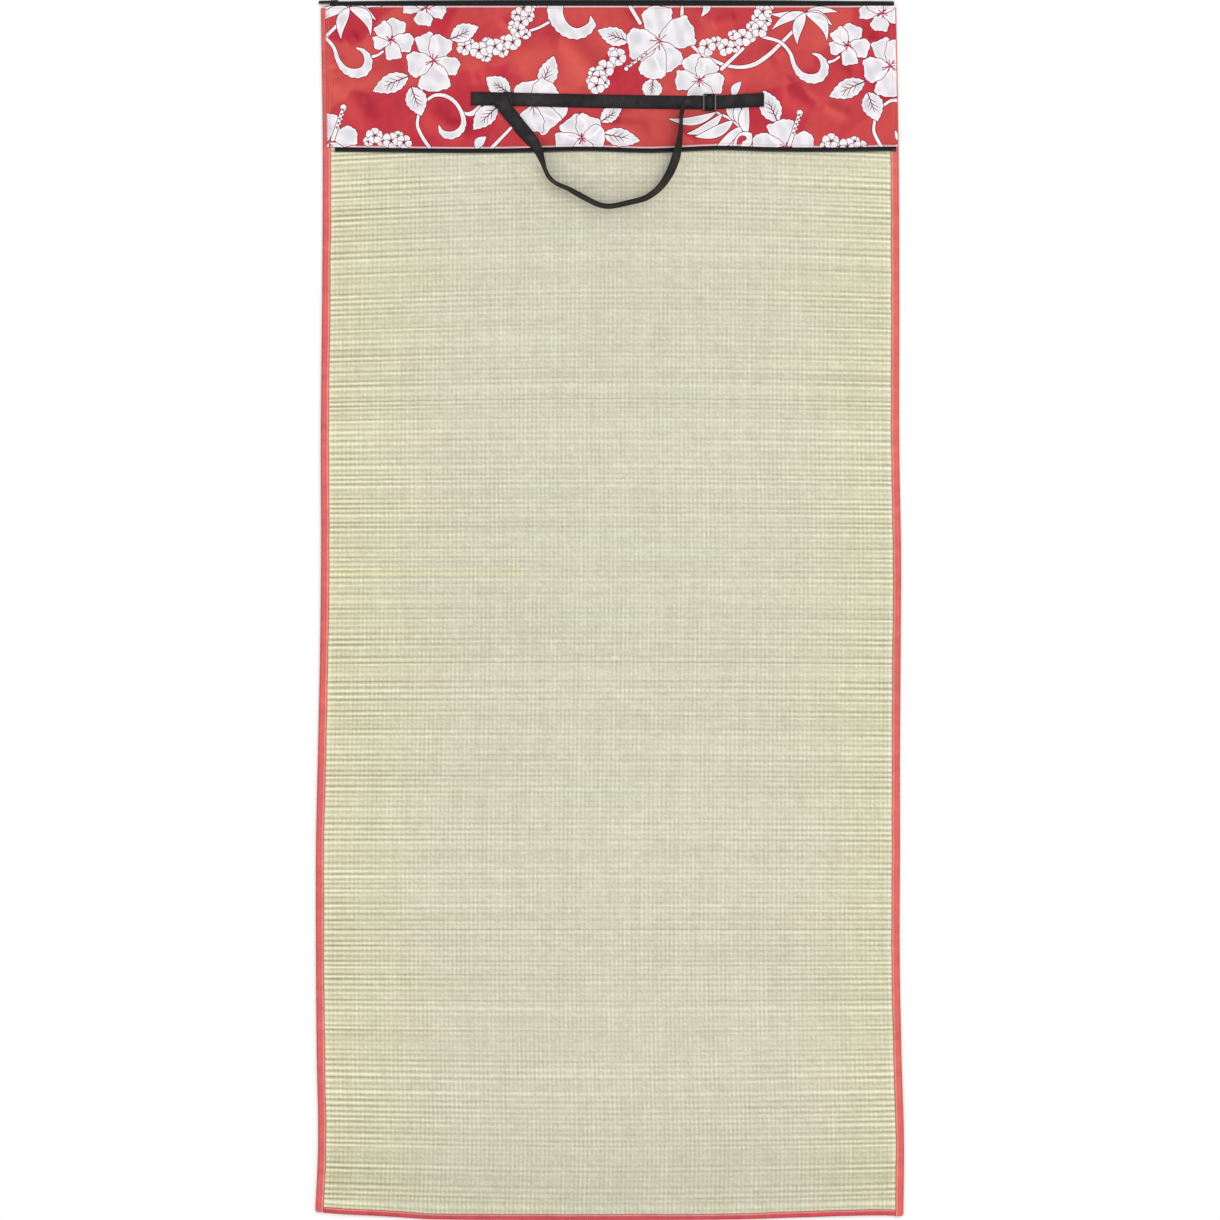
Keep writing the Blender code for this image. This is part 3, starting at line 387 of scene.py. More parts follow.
SAMPLES_PER_ROW = 6
# The strap's way through the adjuster: distance from its middle, base height.
WEAVE = [
    (-9.6, UNDER_BAR), (-6.1, UNDER_BAR), (-2.2, OVER_BAR),
    (2.2, OVER_BAR), (6.1, UNDER_BAR), (9.6, UNDER_BAR),
]
# Flat webbing's section: share across, share of the thickness.
WEB_SECTION = np.array([
    (-1, 0.35), (-0.93, 0.92), (-0.55, 1.0), (0, 1.0), (0.55, 1.0), (0.93, 0.92), (1, 0.35),
])
# Section of a zip tape: share of its width from the sewn edge, share of its thickness.
ZIP_SECTION = [(0.0, 0.0), (1.0, 0.0), (1.0, 1.0), (0.75, 1.0), (0.4, 1.0), (0.0, 1.0)]

# Studio, in metres: level of the world, the lamp's place, size and watts, the floor's half side.
WORLD_LEVEL = 0.91
LAMP_PLACE = Vector((4.2, 4.6, 7.0))
LAMP_SIZE = 6.0
LAMP_WATTS = 205.0
FLOOR_HALF = 9
FLOOR_Z = -0.0004
# The camera, in millimetres: its place, the side of the square that it sees, its film's width.
CAMERA_PLACE = (0.4, -0.4, 6000.0)
PICTURE_SIDE = 1799.5
FILM = 36.0


def linear(red, green, blue):
    """A display colour of 0 to 255 as the linear colour that shows it under these lights."""
    share = np.array((red, green, blue), float) / 255
    made = np.where(share <= 0.04045, share / 12.92, ((share + 0.055) / 1.055) ** 2.4)
    return made / LIGHT_LEVEL


def smooth(value):
    share = np.clip(value, 0.0, 1.0)
    return share * share * (3 - 2 * share)


def curve(knots, values, level=False):
    """The smooth curve through rising knots as a function; level keeps it from overshooting."""
    knots = np.array(knots, float)
    values = np.array(values, float)
    steps = np.diff(knots)
    secants = np.diff(values) / steps
    inner = (secants[:-1] * steps[1:] + secants[1:] * steps[:-1]) / (steps[:-1] + steps[1:])
    if level:
        limit = 3 * np.minimum(abs(secants[:-1]), abs(secants[1:]))
        held = np.copysign(np.minimum(abs(inner), limit), secants[:-1])
        inner = np.where(secants[:-1] * secants[1:] <= 0, 0.0, held)
    rise = np.concatenate([secants[:1], inner, secants[-1:]])

    def value(at):
        at = np.clip(np.asarray(at, float), knots[0], knots[-1])
        span = np.clip(np.searchsorted(knots, at, side="right") - 1, 0, len(steps) - 1)
        t = (at - knots[span]) / steps[span]
        return (
            (2 * t**3 - 3 * t**2 + 1) * values[span]
            + (t**3 - 2 * t**2 + t) * steps[span] * rise[span]
            + (3 * t**2 - 2 * t**3) * values[span + 1]
            + (t**3 - t**2) * steps[span] * rise[span + 1]
        )

    return value


left_x = curve(SIDE_EDGES[:, 0], SIDE_EDGES[:, 1])
right_x = curve(SIDE_EDGES[:, 0], SIDE_EDGES[:, 2])
foot_y = curve(FOOT_EDGE[:, 0], FOOT_EDGE[:, 1], level=True)
row_bow = curve(ROW_BOW[:, 0], ROW_BOW[:, 1])
row_tilt = curve(ROW_BOW[:, 0], ROW_BOW[:, 2])
foot_zip_free_y = curve(FOOT_ZIP_FREE[:, 0], FOOT_ZIP_FREE[:, 1])
band_y = curve(BAND_ROUTE[:, 0], BAND_ROUTE[:, 1])


def patches(rows, columns, row_cells, column_cells, seed):
    """Seeded smooth variation from -1 to 1 over a grid."""
    cells = np.random.default_rng(seed).uniform(-1, 1, (row_cells + 1, column_cells + 1))

    def stretch(values, count):
        at = np.linspace(0, len(values) - 1, count)
        low = np.minimum(at.astype(int), len(values) - 2)
        share = smooth(at - low)[:, None]
        return values[low] * (1 - share) + values[low + 1] * share

    return stretch(stretch(cells, rows).T, columns).T


class Finish:
    """A material in the making: the mesh's own tint, or one colour, under layers of tone and relief."""

    def __init__(self, name, roughness, colour=None, vector="Object", **settings):
        self.material = bpy.data.materials.new(name)
        self.material.use_nodes = True
        self.tree = self.material.node_tree
        self.shader = self.tree.nodes["Principled BSDF"]
        self.shader.inputs["Roughness"].default_value = roughness
        for key, value in settings.items():
            self.shader.inputs[key.replace("_", " ")].default_value = value
        self.vector = self.node("TexCoord", {}, vector)
        self.surface = None
        if colour is None:
            self.colour = self.node("Attribute", {}, "Color", attribute_name="tint")
        else:
            self.colour = (*colour, 1.0)

    def node(self, kind, inputs, output=0, **settings):
        """One output of a node with its settings, and each input given a value or a link."""
        node = self.tree.nodes.new("ShaderNode" + kind)
        for name, value in settings.items():
            setattr(node, name, value)
        for name, value in inputs.items():
            if isinstance(value, bpy.types.NodeSocket):
                self.tree.links.new(value, node.inputs[name])
            elif value is not None:
                node.inputs[name].default_value = value
        return node.outputs[output]

    def mapped(self, scale, turn=0.0):
        return self.node("Mapping", {"Vector": self.vector, "Scale": scale, "Rotation": (0, 0, turn)})

    def noise(self, scale, detail=3.0, vector=None):
        inputs = {"Vector": vector or self.vector, "Scale": scale, "Detail": detail}
        return self.node("TexNoise", inputs)

    def wave(self, period, axis="X", distortion=0.0, turn=0.0):
        """Bands with that period in millimetres along one axis of the vector, which is in metres."""
        vector = self.mapped((1, 1, 1), turn) if turn else self.vector
        scale = 2 * math.pi / (20 * period * MM)
        inputs = {"Vector": vector, "Scale": scale, "Distortion": distortion}
        return self.node("TexWave", inputs, 1, bands_direction=axis)

    def ranged(self, value, low, high):
        return self.node("MapRange", {"Value": value, "To Min": low, "To Max": high})

    def layer(self, height, low, high, distance=None, strength=1.0):
        """The tone goes from low to high with the height; a distance in metres also gives relief."""
        inputs = {0: 1.0, 6: self.colour, 7: self.ranged(height, low, high)}
        self.colour = self.node("Mix", inputs, 2, data_type="RGBA", blend_type="MULTIPLY")
        self.tree.links.new(self.colour, self.shader.inputs["Base Color"])
        if distance:
            inputs = {"Height": height, "Distance": distance, "Strength": strength}
            inputs["Normal"] = self.surface
            self.surface = self.node("Bump", inputs)
            self.tree.links.new(self.surface, self.shader.inputs["Normal"])


def straw_material():
    straw = Finish("straw", 0.55, Specular_IOR_Level=0.35)
    fibre = straw.noise(1.0, 4.0, straw.mapped((30, 900, 30)))
    straw.layer(fibre, 0.90, 1.10, 0.0004, 0.6)
    straw.layer(straw.noise(400.0, 2.0), 0.95, 1.05)
    straw.tree.links.new(straw.ranged(fibre, 0.45, 0.7), straw.shader.inputs["Roughness"])
    return straw.material


def tape_material():
    tape = Finish("binding_tape", 0.85, Specular_IOR_Level=0.12)
    tape.layer(tape.noise(130.0), 0.78, 1.22)
    tape.layer(tape.wave(1.1, turn=0.8), 0.94, 1.06, 0.00012, 0.6)
    return tape.material


def print_material():
    cloth = Finish("printed_cloth", 0.7, Specular_IOR_Level=0.12)
    cloth.layer(cloth.noise(45.0), 0.90, 1.10, 0.0012, 0.35)
    threads = {0: cloth.wave(0.9, "X", 0.3), 1: cloth.wave(0.9, "Y", 0.3)}
    cloth.layer(cloth.node("Math", threads, operation="ADD"), 0.97, 1.03, 0.00010, 0.5)
    return cloth.material


def webbing_material():
    """Ribbed webbing: its UV runs along it and across it, in metres."""
    web = Finish("webbing", 0.6, vector="UV", Specular_IOR_Level=0.16)
    threads = {0: web.wave(1.8, "X", 0.2), 1: web.wave(2.2, "Y", 0.2)}
    web.layer(web.node("Math", threads, operation="MULTIPLY"), 0.85, 1.15, 0.0002, 0.8)
    web.layer(web.noise(120.0), 0.3, 1.75)
    return web.material


def plastic_material():
    plastic = Finish("black_plastic", 0.5, Specular_IOR_Level=0.2)
    plastic.layer(plastic.noise(900.0, 2.0), 0.8, 1.25, 0.00003, 0.4)
    return plastic.material


def zip_tape_material():
    tape = Finish("zip_tape", 0.8, Specular_IOR_Level=0.12)
    tape.layer(tape.wave(1.3, turn=0.6), 0.8, 1.2, 0.0001, 0.6)
    return tape.material


def speckled_material(name, colour, roughness, scale, low, high, **settings):
    """A hard or thread finish of one colour, with a fine uneven tone and a light surface grain."""
    finish = Finish(name, roughness, linear(*colour), **settings)
    finish.layer(finish.noise(scale), low, high, 0.00005, 0.4)
    return finish.material


def unit(vectors):
    return vectors / np.linalg.norm(vectors, axis=1)[:, None]


def travelled(path):
    """Distance along a path of points, from 0 at the first."""
    return np.concatenate([[0], np.cumsum(np.linalg.norm(np.diff(path, axis=0), axis=1))])


def alternating(count):
    """1 and -1 in turn."""
    return np.where(np.arange(count) % 2 == 0, 1.0, -1.0)


def in_scene(name, data):
    obj = bpy.data.objects.new(name, data)
    bpy.context.scene.collection.objects.link(obj)
    return obj


def add_object(name, points, faces, material, slot, tints=None, uvs=None, domain="POINT"):
    """A smooth mesh piece of points in millimetres on the one body; without faces it is a loft."""
    mesh = bpy.data.meshes.new(name)
    faces = faces or loft_faces(*points.shape[:2])
    mesh.from_pydata((np.reshape(points, (-1, 3)) * MM).tolist(), [], faces)
    if tints is not None:
        layer = mesh.color_attributes.new(name="tint", type="FLOAT_COLOR", domain=domain)
        colours = np.ones((len(layer.data), 4), np.float32)
        colours[:, :3] = np.reshape(tints, (-1, 3))
        layer.data.foreach_set("color", colours.ravel())
    if uvs is not None:
        corners = np.zeros(len(mesh.loops), np.int32)
        mesh.loops.foreach_get("vertex_index", corners)
        layer = mesh.uv_layers.new(name="cloth")
        uvs = np.reshape(uvs, (-1, 2)).astype(np.float32) * MM
        layer.data.foreach_set("uv", uvs[corners].ravel())
    mesh.materials.append(material)
    mesh.validate()
    mesh.shade_smooth()
    obj = in_scene(name, mesh)
    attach(obj, BODY)
    return obj


def grid_quads(ids):
    return np.stack([ids[:-1, :-1], ids[1:, :-1], ids[1:, 1:], ids[:-1, 1:]], axis=-1).reshape(-1, 4)


def loft_faces(rings, around, closed=False):
    """Faces through rings of points: with a cap on each end, or closed into a loop."""
    ids = np.arange(rings * around).reshape(rings, around)
    loop = np.concatenate([ids, ids[:1]]) if closed else ids
    faces = grid_quads(np.concatenate([loop, loop[:, :1]], axis=1))[:, [0, 3, 2, 1]].tolist()
    if not closed:
        faces += [ids[0, ::-1].tolist(), ids[-1].tolist()]
    return faces


def straw_columns(y):
    """x of each column at the rows y: pressed strip, ramp, then one place on and one off each warp."""
    left, right = left_x(y)[:, None], right_x(y)[:, None]
    count = round((STRAW_WIDTH - 2 * COLUMN_INSETS[-1]) / WARP_PITCH) * 2
    share = np.linspace(0, 1, count + 1)[1:-1][None, :]
    inner = (left + COLUMN_INSETS[-1]) * (1 - share) + (right - COLUMN_INSETS[-1]) * share
    return np.concatenate([left + COLUMN_INSETS, inner, right - COLUMN_INSETS[::-1]], axis=1)


def straw_rows():
    """Down the sheet: y at the long edges, share of the rib height, rib number, share of the painted
    rib shade and highlight.
    """
    chance = random.Random(11)
    hidden = np.arange(STRAW_HEAD_Y, RIB_START_Y + 20, -HIDDEN_ROW_PITCH)
    rows = [(y, 0.0, 0, 0.0) for y in hidden]
    y = RIB_START_Y
    rib = 1
    while y > FOOT_EDGE[0][1] + 22:
        pitch = RIB_PITCH * chance.uniform(0.78, 1.25)
        strength = chance.choice((0.35, 0.6, 0.8, 1.0, 1.0))
        for phase, share, tone in zip(RIB_PHASES, RIB_PROFILE, RIB_SHADING):
            rows.append((y - pitch * phase, share * strength, rib, tone * strength))
        y -= pitch
        rib += 1
    rows.append((y, -0.8, rib, -0.8))
    return np.array(rows)


def straw_colours(rows, x, y, side, rib_shading):
    """Linear tint of each point: bowed rows, painted shade in the rib troughs and painted highlight on
    the crests, strongest at the sides, faint warps, soft patches.
    """
    count, across = x.shape
    rib_tone = np.random.default_rng(5).normal(0, 1, int(rows[:, 2].max()) + 1)
    tone = rib_tone[rows[:, 2].astype(int)][:, None] * (1.7 + 4.2 * side)
    tone = tone * (0.7 + 0.7 * patches(count, across, count // 4, 9, 21))
    warp = alternating(across)[None, :]
    tone += warp * (8.5 - 3.5 * side) * (1 + 0.7 * patches(count, across, 40, across // 3, 22))
    over = np.where(rows[:, 2:3] % 2 == 0, 1.0, -1.0) * warp
    tone += over * 4.0 * patches(count, across, count // 9, across // 9, 25)
    tone += 3.0 * patches(count, across, 24, across // 2, 23)
    tone += 4.0 * patches(count, across, count // 2, 60, 24)
    tone += 2.4 * patches(count, across, count // 8, 3, 26)
    tone += 8.5 * np.random.default_rng(6).uniform(-1, 1, x.shape)
    # Painted shade in the rib troughs and painted highlight on the crests, deepest near the long edges.
    depth = 11.0 + 52.0 * side
    tone += depth * np.where(rib_shading < 0, rib_shading * 1.2, rib_shading * 0.9)
    inset = np.minimum(x - left_x(y), right_x(y) - x)
    # A painted highlight on the straw just inside the binding tape, and the straw darker towards the
    # foot.
    tone += 16.0 * np.exp(-(((inset - 13.0) / 4.0) ** 2)) - 9.0 * smooth((-700 - y) / 180)
    green = patches(count, across, 70, 5, 31)[..., None] * STRAW_GREEN
    warm = patches(count, across, 90, 6, 32)[..., None] * STRAW_WARM
    colour = STRAW_MIDDLE * (1 - side[..., None]) + STRAW_EDGE * side[..., None]
    colour = colour + tone[..., None] * np.array((1.0, 1.0, 1.08)) + green + warm
    streak = np.exp(-(((y - 55.7) / 3.0) ** 2)) * (x < -130) * (x > -415)
    colour += streak[..., None] * np.array((6, 4, -14))
    fleck = np.exp(-(((x - 7.7) / 4.5) ** 2) - ((y + 69.7) / 1.8) ** 2)
    colour += fleck[..., None] * np.array((38, 38, 34))
    share = np.clip(colour, 0, 255) / 255
    return ((share + 0.055) / 1.055) ** 2.4 / LIGHT_LEVEL


def make_straw(material):
    """The woven sheet, as four closed pieces that meet in troughs, with real ribs above and below."""
    rows = straw_rows()
    edge_y = rows[:, 0]
    x = straw_columns(edge_y)
    left, right = left_x(edge_y)[:, None], right_x(edge_y)[:, None]
    out = (x - (left + right) / 2) / ((right - left) / 2)
    y = edge_y[:, None] + row_bow(edge_y)[:, None] * (1 - abs(out) ** ROW_BOW_POWER)
    y = y + row_tilt(edge_y)[:, None] * out / 2
    side = RIB_LEFT * np.exp(-(x - left) / RIB_FADE) + RIB_RIGHT * np.exp(-(right - x) / RIB_FADE)

    foot = foot_y(x[-1])
    last, rest = y[-1], foot + FOOT_INSET
    ends = [last + (rest - last) * share for share in (0.3, 0.6, 1.0)]
    ends += [foot + inset for inset in FOOT_PRESSED]
    x = np.concatenate([x] + [x[-1:]] * len(ends))
    y = np.concatenate([y] + [end[None, :] for end in ends])
    side = np.concatenate([side] + [side[-1:]] * len(ends))
    foot_rows = [(e.mean(), share, rows[-1, 2], share) for e, share in zip(ends, FOOT_SHARES)]
    rows = np.concatenate([rows, foot_rows])
    count, across = x.shape

    inset = np.minimum(x - left_x(y), right_x(y) - x)
    full = smooth((inset - PRESSED_WIDTH) / PRESSED_RAMP)
    full[-1] = full[-2] = full[-3] = 0.0
    fade = 0.75 + 0.25 * patches(count, across, count // 4, 24, 8)
    crest = rows[:, 1:2] * fade
    rib_shading = rows[:, 3:4] * fade
    warp = alternating(across)[None, :]
    rib_height = CREST_MIDDLE + (CREST_SIDE - CREST_MIDDLE) * side
    relief = WARP_RELIEF_MIDDLE + (WARP_RELIEF_SIDE - WARP_RELIEF_MIDDLE) * side
    ribbed = (rows[:, 2:3] > 0) * 1.0
    surface = STRAW_TOP + (crest * rib_height + warp * relief) * ribbed
    z = PRESSED_HIGH + (surface - PRESSED_HIGH) * full
    low = PRESSED_LOW * (1 - full) + UNDER_RELIEF * full * np.clip(-crest, 0, 1) * ribbed
    tints = straw_colours(rows, x, y, side, rib_shading)

    troughs = [i for i in range(1, count - 9) if rows[i, 2] > 0 and rows[i, 1] < 0]
    starts = [0] + [troughs[len(troughs) * n // STRAW_PIECES] for n in range(1, STRAW_PIECES)]
    ends = starts[1:] + [count - 1]
    for number, (start, end) in enumerate(zip(starts, ends), 1):
        grids = [grid[start : end + 1] for grid in (x, y, z, low, tints)]
        straw_piece(f"straw_{number}", grids, material)


def straw_piece(name, grids, material):
    """One closed piece: the full grid above, every second row and fourth column below."""
    x, y, z, low, tints = grids
    count, across = x.shape
    under_rows = sorted({*range(0, count, 2), count - 1})
    under_columns = sorted({*range(0, across, 4), 1, 2, across - 3, across - 2, across - 1})
    pick = np.ix_(under_rows, under_columns)
    top = np.stack([x, y, z], axis=-1).reshape(-1, 3)
    bottom = np.stack([x[pick], y[pick], low[pick]], axis=-1).reshape(-1, 3)
    above = np.arange(len(top)).reshape(x.shape)
    below = len(top) + np.arange(len(bottom)).reshape(len(under_rows), len(under_columns))
    faces = grid_quads(above).tolist() + grid_quads(below)[:, ::-1].tolist()
    for picks, upper, lower, turned in (
        (under_rows, above[:, 0], below[:, 0], False),
        (under_rows, above[:, -1], below[:, -1], True),
        (under_columns, above[0], below[0], True),
        (under_columns, above[-1], below[-1], False),
    ):
        for n, (a, b) in enumerate(zip(picks, picks[1:])):
            over, under = upper[a : b + 1].tolist(), lower[n : n + 2].tolist()
            faces.append(over[::-1] + under if turned else over + under[::-1])
    points = np.concatenate([top, bottom])
    colours = np.concatenate([tints.reshape(-1, 3), tints[pick].reshape(-1, 3) * 0.95])
    obj = add_object(name, points, faces, material, "straw", tints=colours)
    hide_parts("straw_sheet")


def make_binding(name, edge, inward, width, material):
    """Folded tape along an edge: points of its outer line, unit vectors inwards, and its width."""
    section = np.array(TAPE_SECTION)
    wander = patches(len(edge), 1, len(edge) // 6, 1, len(name))[:, 0]
    pucker = patches(len(edge), 1, len(edge) // 2, 1, len(name) + 3)
    reach = section[None, :, 0] * (width + 0.4 * wander)[:, None]
    # A painted highlight strip on the fold's ridge, and painted shade on the rolled edges and underside
    # from the section's tone column.
    pale = (section[:, 2] == 2.0)[None, :]
    points = np.zeros((len(edge), len(section), 3))
    points[..., :2] = edge[:, None, :] + inward[:, None, :] * reach[..., None]
    points[..., 2] = section[None, :, 1] + pale * 0.10 * pucker
    tones = np.where(pale, 1.0, section[None, :, 2]) * (1 + 0.08 * pucker)
    colours = np.where(pale[..., None], linear(*TAPE_RIDGE_HIGHLIGHT), linear(*TAPE_COLOURS[name]))
    colours = np.clip(tones[..., None] * colours, 0, 1)
    obj = add_object(name + "_tape", points, None, material, "binding", tints=colours)
    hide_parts(name)


def edge_lines():
    """Outer line and inward direction of each of the three bindings."""
    lines = {}
    for side, edge_x, inward in (("left", left_x, 1.0), ("right", right_x, -1.0)):
        corner = float(foot_y(edge_x(-900.0)))
        y = np.linspace(BIND_HEAD_Y, corner + CORNER_RADIUS, SIDE_STEPS)
        turn = np.radians(CORNER_TURNS)
        y = np.concatenate([y, corner + CORNER_RADIUS * (1 - np.sin(turn))])
        rounded = np.concatenate([np.zeros(SIDE_STEPS), CORNER_RADIUS * (1 - np.cos(turn))])
        line = np.stack([edge_x(y) + inward * rounded, y], axis=1)
        width = BIND_WIDTH - rounded
        lines["binding_" + side] = (line, (inward, 0.0), width)
    inner_y = float(foot_y(left_x(-900.0))) + FOOT_BIND_WIDTH
    start = float(left_x(inner_y)) + BIND_WIDTH - 0.2
    end = float(right_x(inner_y)) - BIND_WIDTH + 0.2
    x = np.linspace(start, end, FOOT_STEPS)
    width = np.full(len(x), FOOT_BIND_WIDTH)
    lines["binding_foot"] = (np.stack([x, foot_y(x)], axis=1), (0.0, 1.0), width)
    return lines


def stitches(name, path, pitch, length, radius, material, slot):
    """A row of separate thread stitches along a path of points, each a small rounded float."""
    knots = travelled(path)
    at = np.arange(pitch, knots[-1] - pitch / 2, pitch)
    middle = np.stack([np.interp(at, knots, column) for column in path.T], axis=1)
    ahead = np.stack([np.interp(at + 1, knots, column) for column in path.T], axis=1)
    along = unit(ahead - middle)
    across = unit(np.cross((0, 0, 1), along))
    up = np.cross(along, across)
    ring = np.linspace(0, 2 * math.pi, 6, endpoint=False)
    shape = np.array([
        (reach * length, math.cos(angle) * share, math.sin(angle) * share * 0.8 + lift)
        for reach, share, lift in STITCH_RINGS for angle in ring
    ])
    points = middle[:, None, :] + along[:, None, :] * shape[:, 0:1]
    points = points + across[:, None, :] * (shape[:, 1:2] * radius)
    points = points + up[:, None, :] * (shape[:, 2:3] * radius)
    one = loft_faces(len(STITCH_RINGS), len(ring))
    faces = [[i + n * len(shape) for i in face] for n in range(len(at)) for face in one]
    return add_object(name, points, faces, material, slot)


def make_bindings(tape, thread):
    for name, (edge, inward, width) in edge_lines().items():
        inward = np.tile(inward, (len(edge), 1))
        make_binding(name, edge, inward, width, tape)
        line = edge + inward * (TAPE_STITCH_AT * width)[:, None]
        path = np.column_stack([line, np.full(len(line), TAPE_STITCH_Z)])
        stitches(name + "_stitches", path, *TAPE_STITCH, thread, "binding")


def crease_lift(x, y):
    """Height of the listed creases over the panel's resting level."""
    lift = np.zeros_like(x)
    for x1, y1, x2, y2, height, reach in CREASES:
        run_x, run_y = x2 - x1, y2 - y1
        share = np.clip(((x - x1) * run_x + (y - y1) * run_y) / (run_x**2 + run_y**2), 0, 1)
        distance = np.hypot(x - x1 - share * run_x, y - y1 - share * run_y) / reach
        ends = smooth(4 * np.minimum(share, 1 - share) + 0.25)
        lift = np.maximum(lift, height * ends * np.exp(-(distance**2)))
    outside = np.maximum(CALM_LOW[0] - x, x - CALM_HIGH[0])
    outside = np.maximum(outside, np.maximum(CALM_LOW[1] - y, y - CALM_HIGH[1]))
    return lift * smooth(outside / CALM_RAMP)


def panel_foot_y(x):
    return foot_zip_free_y(x) + PANEL_FOOT_PAST_ZIP


def panel_low(x, y):
    """Height of the panel's underside."""
    edge = np.minimum(x - left_x(y), right_x(y) - x)
    foot = y - panel_foot_y(x)
    over_binding = 1 - smooth((edge - BIND_WIDTH - PANEL_LEVEL_PAST) / PANEL_RAMP)
    height = PANEL_LOW + (PANEL_OVER_BINDING - PANEL_LOW) * over_binding
    reach = TAPE_UNDER + PANEL_LEVEL_PAST
    over_foot_zip = 1 - smooth((foot - reach) / PANEL_RAMP)
    near_head = 1 - smooth((PANEL_HEAD_Y - y - reach) / PANEL_RAMP)
    start, end = HEAD_ZIP_RISE_X
    over_head_zip = near_head * smooth((x - start + PANEL_RAMP) / (end - start))
    height = height + (PANEL_OVER_ZIP - height) * np.maximum(over_foot_zip, over_head_zip)
    inside = np.minimum(np.minimum(foot, PANEL_HEAD_Y - y), edge - PANEL_LEFT_IN)
    return height + crease_lift(x, y) * smooth(inside / CREASE_FADE)


def panel_edge_inset(x, y):
    """Distance from the nearest of the panel's four edges, and from the head or foot edge alone."""
    ends = np.minimum(PANEL_HEAD_Y - y, y - panel_foot_y(x))
    left = x - left_x(y) - PANEL_LEFT_IN
    right = right_x(y) - PANEL_RIGHT_IN - x
    return np.minimum(ends, np.minimum(left, right)), ends


def panel_top(x, y):
    """The cloth's upper face: hems puffed at the head and the foot, edges rounded."""
    nearest, ends = panel_edge_inset(x, y)
    puff = sum(height * np.exp(-(((ends - at) / reach) ** 2)) for height, at, reach in HEM_SWELLS)
    return panel_low(x, y) + PANEL_THICK + puff - EDGE_ROUNDING * (1 - smooth(nearest))


GROUND, WHITE, LINE, CRIMSON = range(4)


def outward(outline):
    """Unit vectors out of a closed outline at its points."""
    run = np.roll(outline, -1, axis=0) - np.roll(outline, 1, axis=0)
    run /= np.maximum(np.hypot(*run.T), 1e-9)[:, None]
    area = np.cross(outline, np.roll(outline, -1, axis=0)).sum()
    return np.stack([run[:, 1], -run[:, 0]], axis=1) * np.sign(area)


def petal_profile(share):
    rise = (1 - (1 - np.minimum(share / 0.70, 1)) ** 2) ** 0.8
    end = np.clip(1 - (np.maximum(share - 0.70, 0) / 0.30) ** 3, 0, 1) ** 0.45
    return rise * end


def round_profile(share):
    return 2 * np.sqrt(np.clip(share * (1 - share), 0, 1))


def leaf_profile(share):
    return np.sin(math.pi * share**0.85) ** 0.9


def lily_profile(share):
    return np.sin(math.pi * share**0.72) ** 1.15


def blade(base, tip, width, profile, bend=0.0, ruffle=0.0, waves=0, phase=0.0, notch=0.0):
    """Closed outline of a petal or leaf along a bent axis, with a ruffled edge and a notched tip."""
    base, tip = np.array(base, float), np.array(tip, float)
    length = math.dist(base, tip)
    along = (tip - base) / length
    across = np.array((-along[1], along[0]))
    count = max(9, round(length / 1.3))
    share = (1 - np.cos(np.linspace(0, math.pi, count))) / 2
    reach = share - notch * smooth((share - 0.9) / 0.1)
    axis = base + np.outer(reach * length, along)
    axis += np.outer(bend * length * 4 * share * (1 - share), across)
    half = np.outer(width / 2 * np.clip(profile(share), 0, 1), across)
    outline = np.concatenate([axis + half, (axis - half)[-2:0:-1]])
    if ruffle:
        around = np.arange(len(outline)) / len(outline)
        weight = abs(np.sin(math.pi * around * (1 if notch else 2))) * ruffle
        shift = weight * np.sin(2 * math.pi * waves * around + phase)
        if notch:
            shift += 0.45 * weight * np.sin(5.3 * math.pi * waves * around - phase)
        outline = outline + outward(outline) * shift[:, None]
    return outline


def stroke(points, scallop=0.0, step=2.2):
    """Round-ended outline of a line whose width varies; scallop swells its left side, or its right."""
    points = np.array(points, float)
    knots = np.concatenate([[0], np.cumsum(np.hypot(*np.diff(points[:, :2], axis=0).T))])
    at = np.linspace(0, knots[-1], max(3, round(knots[-1] / step)))
    if len(points) > 2:
        x, y = curve(knots, points[:, 0])(at), curve(knots, points[:, 1])(at)
    else:
        x, y = np.interp(at, knots, points[:, 0]), np.interp(at, knots, points[:, 1])
    width = np.interp(at, knots, points[:, 2])
    run = np.stack([np.gradient(x), np.gradient(y)], axis=1)
    run /= np.hypot(*run.T)[:, None]
    side = np.stack([-run[:, 1], run[:, 0]], axis=1)
    swell = abs(scallop) * abs(np.sin(math.pi * at / 8.5)) * np.clip((width - 4.5) / 4, 0, 1)
    middle = np.stack([x, y], axis=1)
    left = middle + side * (width / 2 + (swell if scallop < 0 else 0))[:, None]
    right = middle - side * (width / 2 + (swell if scallop > 0 else 0))[:, None]
    turn = np.radians((40, 90, 140))[:, None]
    arc = np.cos(turn), np.sin(turn)
    ahead = middle[-1] + width[-1] / 2 * (side[-1] * arc[0] + run[-1] * arc[1])
    behind = middle[0] - width[0] / 2 * (side[0] * arc[0] + run[0] * arc[1])
    return np.concatenate([left, ahead, right[::-1], behind])


class Painting:
    """Outlines in the order in which they are printed, each with its ink."""

    def __init__(self):
        self.layers = []

    def add(self, ink, outline):
        self.layers.append((ink, np.asarray(outline)))

    def lined(self, outline, line=LINE_WIDTH):
        self.add(LINE, outline + outward(outline) * line)
        self.add(WHITE, outline)

    def repeated(self, low, high):
        """Every layer of three repeats that reaches into the panel's box."""
        found = []
        for ink, outline in self.layers:
            for turn in (-1, 0, 1):
                moved = outline + REPEAT * turn
                if (moved.max(axis=0) > low).all() and (moved.min(axis=0) < high).all():
                    found.append((ink, moved))
        return found


def aimed(start, degrees, length):
    angle = math.radians(degrees)
    return (start[0] + length * math.cos(angle), start[1] + length * math.sin(angle))


